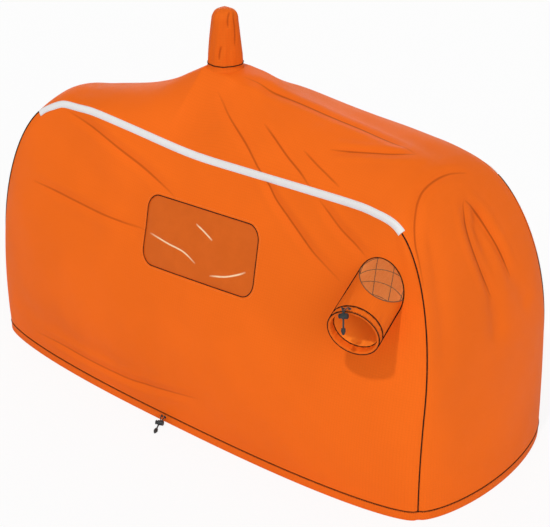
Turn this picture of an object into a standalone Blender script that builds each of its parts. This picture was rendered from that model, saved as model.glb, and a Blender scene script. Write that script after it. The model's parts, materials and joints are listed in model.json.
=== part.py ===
# Frameless group shelter: a fabric bag with an open base, held up from the inside.
# Metres, +Z up. The origin is on the ground, under the middle of the fabric's box.
# The front panel faces -Y and the roof band runs from the left end (-X) to the right end (+X).

import math

import bmesh
import bpy
import numpy as np
from mathutils import Matrix, Vector

# Bag outline, on the seam lines
half_length = 0.640
seam_height = 0.662
seam_sag = 0.015
shoulder_run = 0.177
shoulder_rise = 0.384
base_half_depth = 0.239
top_half_depth = 0.174
side_swell = 0.014

# How far the fabric stands out from the seam lines
front_bow_base = 0.069
front_bow_middle = 0.054
end_bow_base = 0.068
ridge_at_peak = 0.137
ridge_at_right = 0.071
ridge_fall = 0.182
rear_left_droop = 0.109
roof_roundness = 0.67
panel_roundness = 0.56
panel_end_fullness = 2.5
panel_top_fullness = 3
base_taper_power = 1.5
seam_dip_inset = 0.1062
droop_front = -0.12
droop_rear = 0.16
droop_left = -0.55
droop_right = -0.12
droop_power = 2
roof_from_level = 0.70
roof_whole_level = 0.95
ridge_end_run = 0.06
peak_pull = 0.8
peak_pull_run = 0.13
peak_slope_power = 1.2
fold_free_height = 0.05
roof_fold_end = 0.45
roof_fold_free = 0.60
end_fold_free = 0.50
end_fold_start = 0.60
seam_probe = 0.004

# Fabric, seams and hem
fabric = 0.003
gap = 0.0003
tape_reach = 0.012
tape = 0.001
hem_height = 0.024
hem_depth = 0.009
hem_wall = 0.0015

# Peak pocket
peak_x = -0.104
pocket_radius = 0.0405
pocket_tip_radius = 0.0290
pocket_height = 0.137
pocket_waist_place = 0.40
pocket_waist = 0.88
pocket_root = 0.5
pocket_sides = 20
roof_cut_reach = 0.243

# Window
window_x = 0.035
window_z = 0.474
window_width = 0.318
window_height = 0.142
window_corner = 0.030
window_tilt = 0.045
window_lean = 0.20
window_margin = 0.010
film = 0.001

# Vent
vent_from_end = 0.136
vent_z = 0.514
vent_splay = math.radians(14.0)
vent_droop = math.radians(12.5)
vent_length = 0.136
sleeve_radius = 0.0565
sleeve_sides = 24
net_start = -0.035
net_slope = 1.88
net_facing = math.radians(25.0)
net = 0.0014
net_pitch = 0.0150
net_bar = 0.0028
vent_hem_width = 0.018
vent_lock_turn = math.radians(105.0)
vent_seat_gap = 0.00045
net_reach = 0.85
net_edge_bars = 1.5
net_cut_low = 0.3
net_cut_high = 1.3
net_least_rise = 0.5

# Drawcords, eyelets and cord locks
cord_diameter = 0.0024
cord_bend = 0.0032
eyelet_bore = 0.0016
eyelet_barrel = 0.0024
eyelet_flange = 0.0036
eyelet_thickness = 0.0008
eyelet_edge = 0.6
eyelet_face = 0.8
eyelet_drill_over = 0.001
base_lock_x = -0.040
base_eyelet_spread = 0.0045
base_exit_height = 0.0140
tail_stack = 0.0027
end_place = 0.024
lock_radius = 0.0060
lock_length = 0.0140
lock_floor = 0.0015
lock_chamfer = 0.0008
lock_rim_chamfer = 0.0006
plunger_radius = 0.0040
plunger_head_radius = 0.0052
plunger_head = 0.0025
plunger_chamfer_height = 0.0006
plunger_chamfer = 0.0007
plunger_travel = 0.0025
plunger_wall = 0.0012
lock_hole_clearance = 0.0003
base_lock_place = (0.0044, 0.0190, 0.0078)
base_tail_way = (0.42, 0.90, -0.10)
vent_lock_place = (0.0, -0.0030, 0.0180)
vent_tail_way = (0.0, -0.78, 0.62)
tail_step = 0.0035
tail_places = (-0.0080, -0.0040, 0.0, 0.0080, 0.0160)
# Each tail's way from its eyelet towards the lock. At the base: along the hem, out from it and up
base_tail_routes = (
    ((-0.0040, 0.0052, 0.0000), (-0.0018, 0.0086, -0.0012)),
    ((0.0048, 0.0050, -0.0016), (0.0040, 0.0080, -0.0044)),
)
# At the vent: across the sleeve, out from it and along it to its mouth
vent_tail_routes = (
    ((-0.0076, 0.0060, 0.0016), (-0.0062, 0.0078, 0.0046), (-0.0040, 0.0078, 0.0082), (-0.0016, 0.0064, 0.0114)),
    ((0.0075, 0.0056, 0.0015), (0.0060, 0.0068, 0.0042), (0.0038, 0.0060, 0.0072), (0.0015, 0.0042, 0.0096)),
)
spring_wire = 0.0006
spring_radius = 0.0029
spring_turns = 3.0
end_length = 0.0140
end_mouth_radius = 0.0040
end_radius = 0.0048
end_tip_radius = 0.0018
end_socket = 0.0050
end_socket_over = 0.0020
end_lip = 0.0004
end_lip_place = 0.10
end_belly_place = 0.38
end_waist_place = 0.60
end_waist = 0.86
cutter_reach = 4

# How finely the fabric is faceted
side_cells = 10
top_cells = 24
band_cells = 6
shoulder_share = 0.77

# Main folds: start and end on the panel (x, z), half-width and depth
front_folds = [
    ((-0.52, 0.60), (-0.16, 0.47), 0.035, 0.007),
    ((-0.60, 0.45), (-0.30, 0.42), 0.035, 0.005),
    ((0.10, 0.66), (0.38, 0.50), 0.035, 0.007),
    ((0.20, 0.66), (0.44, 0.57), 0.030, 0.005),
    ((-0.54, 0.12), (-0.10, 0.10), 0.035, 0.005),
]
# On the roof (x, y)
roof_folds = [
    ((-0.02, -0.05), (0.13, -0.17), 0.030, 0.008),
    ((0.05, -0.03), (0.26, -0.16), 0.028, 0.006),
    ((0.02, 0.06), (0.44, 0.03), 0.035, 0.007),
    ((-0.20, 0.05), (-0.46, 0.09), 0.035, 0.006),
]
# On the right end (y, z)
end_folds = [
    ((0.02, 0.60), (0.00, 0.38), 0.028, 0.008),
    ((0.03, 0.60), (0.12, 0.40), 0.028, 0.006),
    ((-0.14, 0.62), (-0.19, 0.40), 0.028, 0.006),
]


def clear_scene():
    for item in list(bpy.data.objects):
        bpy.data.objects.remove(item, do_unlink=True)


def paint(name, colour, roughness, metallic=0.0):
    made = bpy.data.materials.new(name)
    made.use_nodes = True
    shader = made.node_tree.nodes["Principled BSDF"]
    shader.inputs["Base Color"].default_value = (*colour, 1.0)
    shader.inputs["Roughness"].default_value = roughness
    shader.inputs["Metallic"].default_value = metallic
    made.diffuse_color = (*colour, 1.0)
    return made


orange = (0.855, 0.147, 0.016)
amber = (0.450, 0.090, 0.012)
brown = (0.300, 0.200, 0.120)
silver = (0.800, 0.790, 0.780)
slate = (0.038, 0.050, 0.052)
steel = (0.550, 0.550, 0.560)
gunmetal = (0.100, 0.110, 0.115)


def make_object(name, points, faces, colour, roughness, metallic=0.0, smooth=None):
    mesh = bpy.data.meshes.new(name)
    mesh.from_pydata([tuple(map(float, p)) for p in points], [], faces)
    work = bmesh.new()
    work.from_mesh(mesh)
    bmesh.ops.triangulate(work, faces=[f for f in work.faces if len(f.verts) > 4])
    if work.calc_volume(signed=True) < 0:
        bmesh.ops.reverse_faces(work, faces=work.faces)
    work.to_mesh(mesh)
    work.free()
    mesh.materials.append(paint(name + "_paint", colour, roughness, metallic))
    if smooth is not None:
        mesh.shade_smooth()
        mesh.set_sharp_from_angle(angle=smooth)
    item = bpy.data.objects.new(name, mesh)
    bpy.context.scene.collection.objects.link(item)
    return item


def combine(item, cutter, operation, keep_cutter=False):
    change = item.modifiers.new("shape", "BOOLEAN")
    change.operation = operation
    change.solver = "EXACT"
    change.object = cutter
    bpy.context.view_layer.update()
    seen = item.evaluated_get(bpy.context.evaluated_depsgraph_get())
    result = bpy.data.meshes.new_from_object(seen)
    item.modifiers.remove(change)
    item.data = result
    if not keep_cutter:
        bpy.data.objects.remove(cutter, do_unlink=True)
    return item


def ease(start, end, value):
    share = np.clip((value - start) / (end - start), 0.0, 1.0)
    return share * share * (3.0 - 2.0 * share)


def unit(vectors):
    return vectors / np.maximum(np.linalg.norm(vectors, axis=-1, keepdims=True), 1e-12)


# The bag's surfaces

hem_top = hem_height + gap
straight_side = seam_height - shoulder_rise
shoulder_path = math.pi / 2 * math.sqrt((shoulder_run ** 2 + shoulder_rise ** 2) / 2)
top_path = 2 * (half_length - shoulder_run)
dip_reach = half_length - seam_dip_inset
vent_x = half_length - vent_from_end


def arch_point(distance):
    """Seam line, as x and z at a distance along it from the left end's base."""
    whole = 2 * straight_side + 2 * shoulder_path + top_path
    left = distance <= whole / 2
    along = np.minimum(distance, whole - distance)
    turn = np.clip((along - straight_side) / shoulder_path, 0.0, 1.0) * math.pi / 2
    out = half_length - shoulder_run * (1 - np.cos(turn))
    out = out - np.maximum(along - straight_side - shoulder_path, 0.0)
    height = np.minimum(along, straight_side) + shoulder_rise * np.sin(turn)
    x = np.where(left, -out, out)
    lifted = np.clip((height - straight_side) / shoulder_rise, 0.0, 1.0)
    dip = seam_sag * np.clip(1 - (x / dip_reach) ** 2, 0.0, 1.0) ** 2 * lifted
    return x, height - dip


def seam_lines():
    """Where the seam is divided: along its two sides, and along its top."""
    whole = 2 * straight_side + 2 * shoulder_path + top_path
    split = straight_side + shoulder_share * shoulder_path
    side = np.append(np.linspace(hem_top, split - tape_reach, side_cells), split)
    inner = np.linspace(split + tape_reach, whole - split - tape_reach, top_cells - 1)
    return side, np.concatenate([[split], inner, [whole - split]])


def whole_seam():
    side, top = seam_lines()
    return np.concatenate([side, top[1:-1], side[-1] + top[-1] - side[::-1]])


def half_depth(z):
    level = np.clip(z / seam_height, 0.0, 1.0)
    taper = (top_half_depth - base_half_depth) * level ** base_taper_power
    return base_half_depth + taper + side_swell * np.sin(math.pi * level)


def fold_depth(a, b, folds):
    total = np.zeros_like(a)
    for (start, end, width, depth) in folds:
        run = np.array(end) - np.array(start)
        share = ((a - start[0]) * run[0] + (b - start[1]) * run[1]) / (run @ run)
        inside = np.clip(share, 0.0, 1.0)
        away = np.hypot(a - start[0] - inside * run[0], b - start[1] - inside * run[1])
        total += depth * np.exp(-(away / width) ** 2)
    return total


def droop(points):
    """The rear left shoulder hangs lower than the front one."""
    moved = points.copy()
    back = ease(droop_front, droop_rear, points[..., 1])
    left = 1 - ease(droop_left, droop_right, points[..., 0])
    level = np.clip((points[..., 2] - hem_top) / seam_height, 0.0, None)
    moved[..., 2] -= rear_left_droop * left * back * level ** droop_power
    return moved


def seam_top(x):
    """Height of the seam line over a place x."""
    out = np.clip((np.abs(x) - (half_length - shoulder_run)) / shoulder_run, 0.0, 1.0)
    rise = np.sqrt(1 - out ** 2)
    dip = seam_sag * np.clip(1 - (x / dip_reach) ** 2, 0.0, 1.0) ** 2 * rise
    return straight_side + shoulder_rise * rise - dip


def wall_stand(x, z):
    """How far the front panel stands out towards -Y at x and z."""
    rise = np.clip((z - straight_side) / shoulder_rise, 0.0, 1.0)
    reach = half_length - shoulder_run * (1 - np.sqrt(1 - rise ** 2))
    across = 1 - np.clip(np.abs(x) / np.maximum(reach, 1e-3), 0.0, 1.0) ** panel_end_fullness
    upward = 1 - np.clip(z / np.maximum(seam_top(x), 1e-3), 0.0, 1.0) ** panel_top_fullness
    level = np.clip(z / seam_height, 0.0, 1.0)
    bow = front_bow_base * (1 - level) + front_bow_middle * np.sin(math.pi * level)
    swell = np.clip(across * upward, 0.0, 1.0)
    dent = fold_depth(x, z, front_folds) * swell ** 0.5 * ease(hem_top, hem_top + fold_free_height, z)
    return half_depth(z) + bow * swell ** panel_roundness - dent


def wall_grid():
    """A Coons patch of the wall: rows rise from the hem, columns run from left to right."""
    side, top = seam_lines()
    side_x, side_z = arch_point(side)
    top_x, top_z = arch_point(top)
    rise = ((side - side[0]) / (side[-1] - side[0]))[:, None]
    across = ((top - top[0]) / (top[-1] - top[0]))[None, :]
    x = (1 - rise) * half_length * (2 * across - 1) + rise * top_x[None, :]
    x = x + (1 - 2 * across) * (side_x[:, None] - (1 - rise) * side_x[0] - rise * side_x[-1])
    z = (1 - rise) * hem_top + rise * top_z[None, :]
    z = z + side_z[:, None] - (1 - rise) * side_z[0] - rise * side_z[-1]
    for column, beside, turn in ((0, 1, 1.0), (-1, -2, -1.0)):
        run = np.array([x[-1, beside] - x[-2, column], z[-1, beside] - z[-2, column]])
        run *= turn * tape_reach / np.hypot(*run)
        x[-2, beside] = x[-1, column] + run[1]
        z[-2, beside] = z[-1, column] - run[0]
    out = wall_stand(x, z)
    for edge in (np.s_[-1, :], np.s_[:, 0], np.s_[:, -1]):
        out[edge] = half_depth(z[edge])
    return np.stack([x, -out, z], axis=-1)


def ridge(x):
    """How far the roof's middle stands over its seams."""
    right_end = half_length - shoulder_run
    to_right = (x - peak_x - pocket_radius) / (right_end - peak_x - pocket_radius)
    right = ridge_at_peak + (ridge_at_right - ridge_at_peak) * np.clip(to_right, 0.0, None)
    left = ridge_at_peak * np.exp(-np.clip(peak_x - pocket_radius - x, 0.0, None) / ridge_fall)
    return np.where(x >= peak_x, right, left)


def band_grid():
    """The roof band: rows follow the seam, columns run from the front to the rear."""
    distances = whole_seam()
    x, z = arch_point(distances)
    before, after = arch_point(distances - seam_probe), arch_point(distances + seam_probe)
    run_x, run_z = after[0] - before[0], after[1] - before[1]
    run_z[0], run_z[-1] = 1.0, -1.0
    run_x[0] = run_x[-1] = 0.0
    size = np.hypot(run_x, run_z)
    out_x, out_z = -run_z / size, run_x / size
    level = np.clip(z / seam_height, 0.0, 1.0)
    on_top = ease(roof_from_level, roof_whole_level, level)
    over = ease(half_length, half_length - shoulder_run - ridge_end_run, np.abs(x)) * on_top
    bow = end_bow_base * (1 - level) * (1 - over) + ridge(x) * over
    edge = tape_reach / top_half_depth
    share = np.concatenate([[-1.0], np.linspace(-1 + edge, 1 - edge, band_cells + 1), [1.0]])[None, :]
    round_form = np.clip(1 - share ** 2, 0.0, 1.0) ** roof_roundness
    flat_part = pocket_radius / top_half_depth
    slope = np.clip(np.abs(share) - flat_part, 0.0, None) / (1 - flat_part)
    near_peak = (peak_pull * np.exp(-((x - peak_x) / peak_pull_run) ** 2) * on_top)[:, None]
    form = round_form * (1 - near_peak) + np.clip(1 - slope, 0.0, 1.0) ** peak_slope_power * near_peak
    stand = bow[:, None] * form
    points = np.stack([x[:, None] + out_x[:, None] * stand,
                       share * half_depth(z)[:, None],
                       z[:, None] + out_z[:, None] * stand], axis=-1)
    px, py, pz = points[..., 0], points[..., 1], points[..., 2]
    on_roof = on_top[:, None] * ease(roof_fold_free, roof_fold_end, np.abs(px))
    on_end = ease(end_fold_free, end_fold_start, px)
    dent = fold_depth(px, py, roof_folds) * on_roof + fold_depth(py, pz, end_folds) * on_end
    dent = dent * np.sqrt(np.clip(1 - share ** 2, 0.0, 1.0))
    points[..., 0] -= out_x[:, None] * dent
    points[..., 2] -= out_z[:, None] * dent
    return droop(points)


def grid_normals(grid):
    """Unit normals at the grid's points, pointing out of the bag."""
    step_a = np.zeros_like(grid)
    step_b = np.zeros_like(grid)
    run_a, run_b = unit(np.diff(grid, axis=0)), unit(np.diff(grid, axis=1))
    step_a[:-1] += run_a
    step_a[1:] += run_a
    step_b[:, :-1] += run_b
    step_b[:, 1:] += run_b
    normals = unit(np.cross(step_a, step_b))
    outward = grid - np.array([0.0, 0.0, seam_height / 2])
    turned = np.sum(normals * outward, axis=-1, keepdims=True) < 0
    return np.where(turned, -normals, normals)


def seam_slots(wall, from_right):
    """The wall's places on the seam, from the left base over the top to the right base."""
    rows, columns = wall.shape[:2]
    slots = [(i, 0) for i in range(rows)]
    slots += [(rows - 1, j) for j in range(1, columns - 1)]
    slots += [(i, columns - 1) for i in range(rows - 1, -1, -1)]
    return [(i, columns - 1 - j) for i, j in slots] if from_right else slots


def level_line(line):
    """Turn a base line's way in level, with its reach kept."""
    reach = np.linalg.norm(line, axis=-1, keepdims=True)
    line[:, 2] = 0.0
    line[:] = unit(line) * reach


def join_seam(wall, wall_in, band_in, column):
    """Mitre wall and band along their seam. Returns the wall's and the band's shift for the gap."""
    rear = column != 0
    slots = seam_slots(wall, rear)
    seam = np.array([wall[s] for s in slots])
    run = np.zeros_like(seam)
    run[:-1] += unit(np.diff(seam, axis=0))
    run[1:] += unit(np.diff(seam, axis=0))
    run = unit(run)
    normals = []
    for normal in (-np.array([wall_in[s] for s in slots]), -band_in[:, column]):
        normals.append(unit(normal - run * np.sum(normal * run, axis=-1, keepdims=True)))
    meet = np.clip(np.sum(normals[0] * normals[1], axis=-1, keepdims=True), -0.5, 1.0)
    inward = -(normals[0] + normals[1]) / (1 + meet)
    across = unit(np.cross(run, inward)) * (gap / 2 if rear else -gap / 2)
    wall_shift = np.zeros_like(wall)
    for slot, way, step in zip(slots, inward, across):
        wall_in[slot] = way
        wall_shift[slot] = step
    band_in[:, column] = inward
    return wall_shift, -across


def bag():
    """The three fabric pieces as grids: points, way in, and shift for the seam gap.

    The front's columns run from left to right and the rear's from right to left.
    """
    front = wall_grid()
    rear = droop(front * np.array([1.0, -1.0, 1.0]))[:, ::-1]
    band = band_grid()
    band[:, 0] = [front[s] for s in seam_slots(front, False)]
    band[:, -1] = [rear[s] for s in seam_slots(rear, True)]
    ways = [-grid_normals(grid) for grid in (front, rear, band)]
    front_shift, band_front = join_seam(front, ways[0], ways[2], 0)
    rear_shift, band_rear = join_seam(rear, ways[1], ways[2], -1)
    band_shift = np.zeros_like(band)
    band_shift[:, 0] = band_front
    band_shift[:, -1] = band_rear
    for line in (ways[0][0], ways[1][0], ways[2][0], ways[2][-1]):
        level_line(line)
    front_shift[0, :, 2] = rear_shift[0, :, 2] = 0.0
    band_shift[0, :, 2] = band_shift[-1, :, 2] = 0.0
    return {"front": (front, ways[0], front_shift),
            "rear": (rear, ways[1], rear_shift),
            "band": (band, ways[2], band_shift)}


def sheet(name, outer, inward, near, far, colour, roughness):
    """Closed sheet between two depths under a grid of points."""
    rows, columns = outer.shape[:2]
    points = np.concatenate([(outer + inward * near).reshape(-1, 3), (outer + inward * far).reshape(-1, 3)])
    under = rows * columns
    faces = []
    for i in range(rows - 1):
        for j in range(columns - 1):
            a, b = i * columns + j, (i + 1) * columns + j
            for corners in ((a, b, b + 1), (a, b + 1, a + 1)):
                faces.append(corners)
                faces.append(tuple(under + c for c in corners[::-1]))
    rim = list(range(columns)) + [i * columns + columns - 1 for i in range(1, rows)]
    rim += [(rows - 1) * columns + j for j in range(columns - 2, -1, -1)]
    rim += [i * columns for i in range(rows - 2, 0, -1)]
    for a, b in zip(rim, rim[1:] + rim[:1]):
        faces += [(a, b, a + under), (b, b + under, a + under)]
    return make_object(name, points, faces, colour, roughness, smooth=math.radians(40))


def prism(name, outline, low, high, frame=None):
    """Outline of (a, b) points, raised along the third axis from low to high."""
    count = len(outline)
    points = [(a, b, low) for a, b in outline] + [(a, b, high) for a, b in outline]
    faces = [tuple(range(count))[::-1], tuple(range(count, 2 * count))]
    faces += [(i, (i + 1) % count, (i + 1) % count + count, i + count) for i in range(count)]
    if frame is not None:
        points = [frame @ Vector(p) for p in points]
    return make_object(name, points, faces, slate, 0.5)


def turned(name, profile, sides, frame, colour, roughness, metallic=0.0, smooth=math.radians(35)):
    """Profile of (height, radius) points turned about the third axis of its own frame."""
    points, faces, rings = [], [], []
    for height, radius in profile:
        if radius == 0.0:
            rings.append([len(points)])
            points.append((0.0, 0.0, height))
            continue
        rings.append(list(range(len(points), len(points) + sides)))
        for k in range(sides):
            angle = 2 * math.pi * k / sides
            points.append((radius * math.cos(angle), radius * math.sin(angle), height))
    closed = profile[0][1] != 0.0
    pairs = list(zip(rings, rings[1:])) + ([(rings[-1], rings[0])] if closed else [])
    for low, high in pairs:
        for k in range(sides):
            n = (k + 1) % sides
            if len(low) == 1:
                faces.append((low[0], high[n], high[k]))
            elif len(high) == 1:
                faces.append((low[k], low[n], high[0]))
            else:
                faces.append((low[k], low[n], high[n], high[k]))
    item = make_object(name, points, faces, colour, roughness, metallic, smooth=smooth)
    item.matrix_world = frame
    return item


def cord(name, points, diameter, colour, roughness, frame=None, sides_level=2):
    """Round cord along a row of points, as a curve with a bevel and filled caps."""
    curve = bpy.data.curves.new(name, "CURVE")
    curve.dimensions = "3D"
    curve.bevel_depth = diameter / 2
    curve.bevel_resolution = sides_level
    curve.use_fill_caps = True
    line = curve.splines.new("POLY")
    line.points.add(len(points) - 1)
    for slot, point in zip(line.points, points):
        slot.co = (*map(float, point), 1.0)
    curve.materials.append(paint(name + "_paint", colour, roughness))
    item = bpy.data.objects.new(name, curve)
    bpy.context.scene.collection.objects.link(item)
    if frame is not None:
        item.matrix_world = frame
    return item


def smooth_route(points, step):
    """Points a step apart on a smooth curve through the route's own points."""
    route = np.array(points)
    ends = np.concatenate([[2 * route[0] - route[1]], route, [2 * route[-1] - route[-2]]])
    fine = []
    for a, b, c, d in zip(ends, ends[1:], ends[2:], ends[3:]):
        for t in np.linspace(0.0, 1.0, 12, endpoint=False):
            fine.append(0.5 * (2 * b + (c - a) * t + (2 * a - 5 * b + 4 * c - d) * t ** 2
                               + (3 * b - a - 3 * c + d) * t ** 3))
    fine = np.array(fine + [route[-1]])
    lengths = np.concatenate([[0.0], np.cumsum(np.linalg.norm(np.diff(fine, axis=0), axis=1))])
    count = max(2, round(lengths[-1] / step))
    places = np.linspace(0.0, lengths[-1], count + 1)
    return np.stack([np.interp(places, lengths, fine[:, k]) for k in range(3)], axis=1)


def frame_of(origin, first, second, third):
    made = Matrix.Identity(4)
    for k, axis in enumerate((first, second, third)):
        for row in range(3):
            made[row][k] = axis[row]
    made.translation = Vector(origin)
    return made


# Fabric body

def build_body(parts):
    for name, key in (("front_panel", "front"), ("rear_panel", "rear"), ("roof_band", "band")):
        outer, inward, shift = parts[key]
        sheet(name, outer + shift, inward, 0.0, fabric, orange, 0.55)
    for name, key in (("reflective_strip_front", "front"), ("reflective_strip_rear", "rear")):
        wall, band = parts[key], parts["band"]
        first, last = wall[0].shape[0], wall[0].shape[0] + wall[0].shape[1] - 2
        lines = []
        for on_wall, on_band in zip(wall[:2], band[:2]):
            if key == "front":
                rows = [on_wall[-2, 1:-1], on_wall[-1, 1:-1], on_band[first:last, 1]]
            else:
                rows = [on_band[first:last, -2], on_wall[-1, -2:0:-1], on_wall[-2, -2:0:-1]]
            lines.append(np.stack(rows, axis=1))
        sheet(name, lines[0], lines[1], -(gap + tape), -gap, silver, 0.30)


def base_loop(parts):
    """Points of the base line, once round: front, right end, rear, left end."""
    front, rear, band = (parts[key][0] for key in ("front", "rear", "band"))
    loop = np.concatenate([front[0, :-1], band[-1, :-1], rear[0, :-1], band[0, :0:-1]])
    loop = loop[:, :2]
    ahead, behind = np.roll(loop, -1, axis=0) - loop, loop - np.roll(loop, 1, axis=0)
    left_a = unit(np.stack([-ahead[:, 1], ahead[:, 0]], axis=1))
    left_b = unit(np.stack([-behind[:, 1], behind[:, 0]], axis=1))
    inward = (left_a + left_b) / (1 + np.sum(left_a * left_b, axis=1, keepdims=True))
    return loop, inward


def ring_faces(count, sides):
    return [(i * sides + k, i * sides + (k + 1) % sides,
             ((i + 1) % count) * sides + (k + 1) % sides, ((i + 1) % count) * sides + k)
            for i in range(count) for k in range(sides)]


def channel_ring(name, corners_at, count, eyelet_frames):
    """A hem: a closed ring with a tunnel in it, opened by its eyelet holes."""
    outer = [point for i in range(count) for point in corners_at(i, 0.0)]
    inner = [point for i in range(count) for point in corners_at(i, hem_wall)]
    hem = make_object(name, outer, ring_faces(count, 4), orange, 0.55)
    tunnel = make_object(name + "_tunnel", inner, ring_faces(count, 4), orange, 0.55)
    combine(hem, tunnel, "DIFFERENCE")
    for k, frame in enumerate(eyelet_frames):
        drill = turned(f"{name}_drill_{k}", [(-hem_depth / 2, 0.0), (-hem_depth / 2, eyelet_barrel + gap),
                                             (eyelet_drill_over, eyelet_barrel + gap), (eyelet_drill_over, 0.0)],
                       12, frame, slate, 0.5, smooth=None)
        combine(hem, drill, "DIFFERENCE")
    return hem


def build_eyelet(name, frame):
    barrel = -(hem_wall + gap)
    face = gap
    profile = [(barrel, eyelet_bore), (barrel, eyelet_barrel), (face, eyelet_barrel), (face, eyelet_flange),
               (face + eyelet_thickness * eyelet_edge, eyelet_flange),
               (face + eyelet_thickness, eyelet_flange * eyelet_face),
               (face + eyelet_thickness, eyelet_bore)]
    turned(name, profile, 12, frame, gunmetal, 0.35, 0.9)


def held_cord(name, middle, frames):
    """Cord inside a hem: in through the left eyelet, round the tunnel and out of the right one."""
    ends = []
    for frame, way in zip(frames, (-1, 1)):
        bend = []
        for k in range(5):
            angle = math.pi / 2 * k / 4
            side = cord_bend * (1 - math.sin(angle))
            depth = hem_depth / 2 - cord_bend * (1 - math.cos(angle))
            bend.append(frame @ Vector((way * side, 0.0, -depth)))
        ends.append(bend + [frame @ Vector((0.0, 0.0, gap + eyelet_thickness))])
    route = ends[0][::-1] + [Vector(p) for p in middle] + ends[1]
    cord(name, route, cord_diameter, slate, 0.75)


# Cord locks

def build_lock(prefix, frame):
    """Sprung cord lock. Its barrel runs along the frame's first axis, the tails along its second."""
    barrel = frame @ Matrix.Rotation(math.pi / 2, 4, "Y")
    hole = cord_diameter / 2 + lock_hole_clearance
    stack = tail_stack / 2 + hole
    floor_face = -(plunger_wall + hole + plunger_travel + spring_wire * (spring_turns + 1) + 2 * gap)
    bottom = floor_face - lock_floor
    top = bottom + lock_length
    bore = plunger_radius + gap
    body = turned(prefix + "_lock_body",
                  [(bottom, 0.0), (bottom, lock_radius - lock_chamfer), (bottom + lock_chamfer, lock_radius),
                   (top - lock_chamfer, lock_radius), (top, lock_radius - lock_rim_chamfer), (top, bore),
                   (floor_face, bore), (floor_face, 0.0)],
                  16, barrel, slate, 0.45)
    keep = 2 * lock_radius
    cut_hole(body, barrel, -hole, hole, stack, keep)
    under = top + plunger_travel + gap
    plunger = turned(prefix + "_lock_plunger",
                     [(-(plunger_wall + hole), 0.0), (-(plunger_wall + hole), plunger_radius),
                      (under, plunger_radius), (under, plunger_head_radius),
                      (under + plunger_head - plunger_chamfer_height, plunger_head_radius),
                      (under + plunger_head, plunger_head_radius - plunger_chamfer), (under + plunger_head, 0.0)],
                     16, barrel, slate, 0.45)
    cut_hole(plunger, barrel, -hole, hole + plunger_travel, stack, keep)
    start = floor_face + gap + spring_wire / 2
    stop = -(plunger_wall + hole) - gap - spring_wire / 2
    turns = np.linspace(0.0, spring_turns, int(spring_turns * 10) + 1)
    helix = [(spring_radius * math.cos(2 * math.pi * t), spring_radius * math.sin(2 * math.pi * t),
              start + (stop - start) * t / spring_turns) for t in turns]
    cord(prefix + "_lock_spring", helix, spring_wire, steel, 0.3, frame=barrel, sides_level=1)
    print(prefix, "spring's least gap between turns", round((stop - start) / spring_turns - spring_wire, 5))


def cut_hole(item, barrel, low, high, stack, keep):
    """Cross hole for the two tails, one over the other."""
    outline = [(-stack, -keep), (stack, -keep), (stack, keep), (-stack, keep)]
    cutter = prism(item.name + "_hole", outline, low, high, frame=barrel)
    combine(item, cutter, "DIFFERENCE")


def build_cord_end(name, frame):
    """Tapered pull over both tail ends. The frame's second axis runs along the tails."""
    along = frame @ Matrix.Rotation(-math.pi / 2, 4, "X")
    item = turned(name,
                  [(0.0, 0.0), (0.0, end_mouth_radius), (end_length * end_lip_place, end_mouth_radius + end_lip),
                   (end_length * end_belly_place, end_radius), (end_length * end_waist_place, end_radius * end_waist),
                   (end_length, end_tip_radius), (end_length, 0.0)],
                  12, along, slate, 0.5)
    hole = cord_diameter / 2 + lock_hole_clearance
    stack = tail_stack / 2 + hole
    outline = [(-hole, -stack), (hole, -stack), (hole, stack), (-hole, stack)]
    combine(item, prism(name + "_socket", outline, -end_socket_over, end_socket, frame=along), "DIFFERENCE")


def build_tails(prefix, frames, exit_frame, lock_frame, routes):
    """The two tails: out of the eyelets, one over the other through the lock, into the pull."""
    lift = lock_frame.col[2].xyz * tail_stack / 2
    run = lock_frame.col[1].xyz
    centre = lock_frame.translation
    start = gap + eyelet_thickness + gap
    for name, frame, middle, side in (("upper", frames[0], routes[0], 1.0), ("lower", frames[1], routes[1], -1.0)):
        first = frame @ Vector((0.0, 0.0, start))
        route = [frame @ Vector((0.0, 0.0, start + cord_diameter / 2))]
        route += [exit_frame @ Vector(p) for p in middle]
        for place in tail_places:
            route.append(centre + run * place + lift * side)
        route.append(centre + run * (end_place + end_socket - gap) + lift * side)
        cord(f"{prefix}_tail_{name}", [first, *smooth_route(route, tail_step)], cord_diameter, slate, 0.75)


def build_pocket(parts):
    band = parts["band"][0]
    middle = band[:, band.shape[1] // 2]
    peak = float(np.interp(peak_x, middle[:, 0][side_cells:-side_cells], middle[:, 2][side_cells:-side_cells]))
    frame = Matrix.Translation((peak_x, 0.0, peak))
    low = -pocket_root * ridge_at_peak
    tip = pocket_tip_radius
    outline = [(low, pocket_radius), (0.0, pocket_radius), (pocket_height * pocket_waist_place, pocket_radius * pocket_waist)]
    outline += [(pocket_height - tip + tip * math.sin(a), tip * math.cos(a))
                for a in (0.0, math.pi / 6, math.pi / 3)]
    outer = outline + [(pocket_height, 0.0)]
    inner = [(max(h, low) if r > tip else h - fabric * math.sin(math.acos(min(r / tip, 1.0))), r - fabric)
             for h, r in outline] + [(pocket_height - fabric, 0.0)]
    pocket = turned("peak_pocket", outer[::-1] + inner, pocket_sides, frame, orange, 0.55)
    near = np.abs(middle[:, 0] - peak_x) < roof_cut_reach
    near &= middle[:, 2] > seam_height / 2
    lines = np.flatnonzero(near)
    patch = band[lines[0]:lines[-1] + 1] + np.array([0.0, 0.0, 2 * gap])
    below = np.zeros_like(patch) + np.array([0.0, 0.0, -1.0])
    roof = sheet("roof_cut", patch, below, 0.0, seam_height / 3, slate, 0.5)
    combine(pocket, roof, "DIFFERENCE")
    bore = pocket_radius - fabric
    hole = turned("pole_hole", [(low, 0.0), (low, bore), (-low, bore), (-low, 0.0)],
                  pocket_sides, frame, slate, 0.5)
    combine(bpy.data.objects["roof_band"], hole, "DIFFERENCE")


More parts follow.
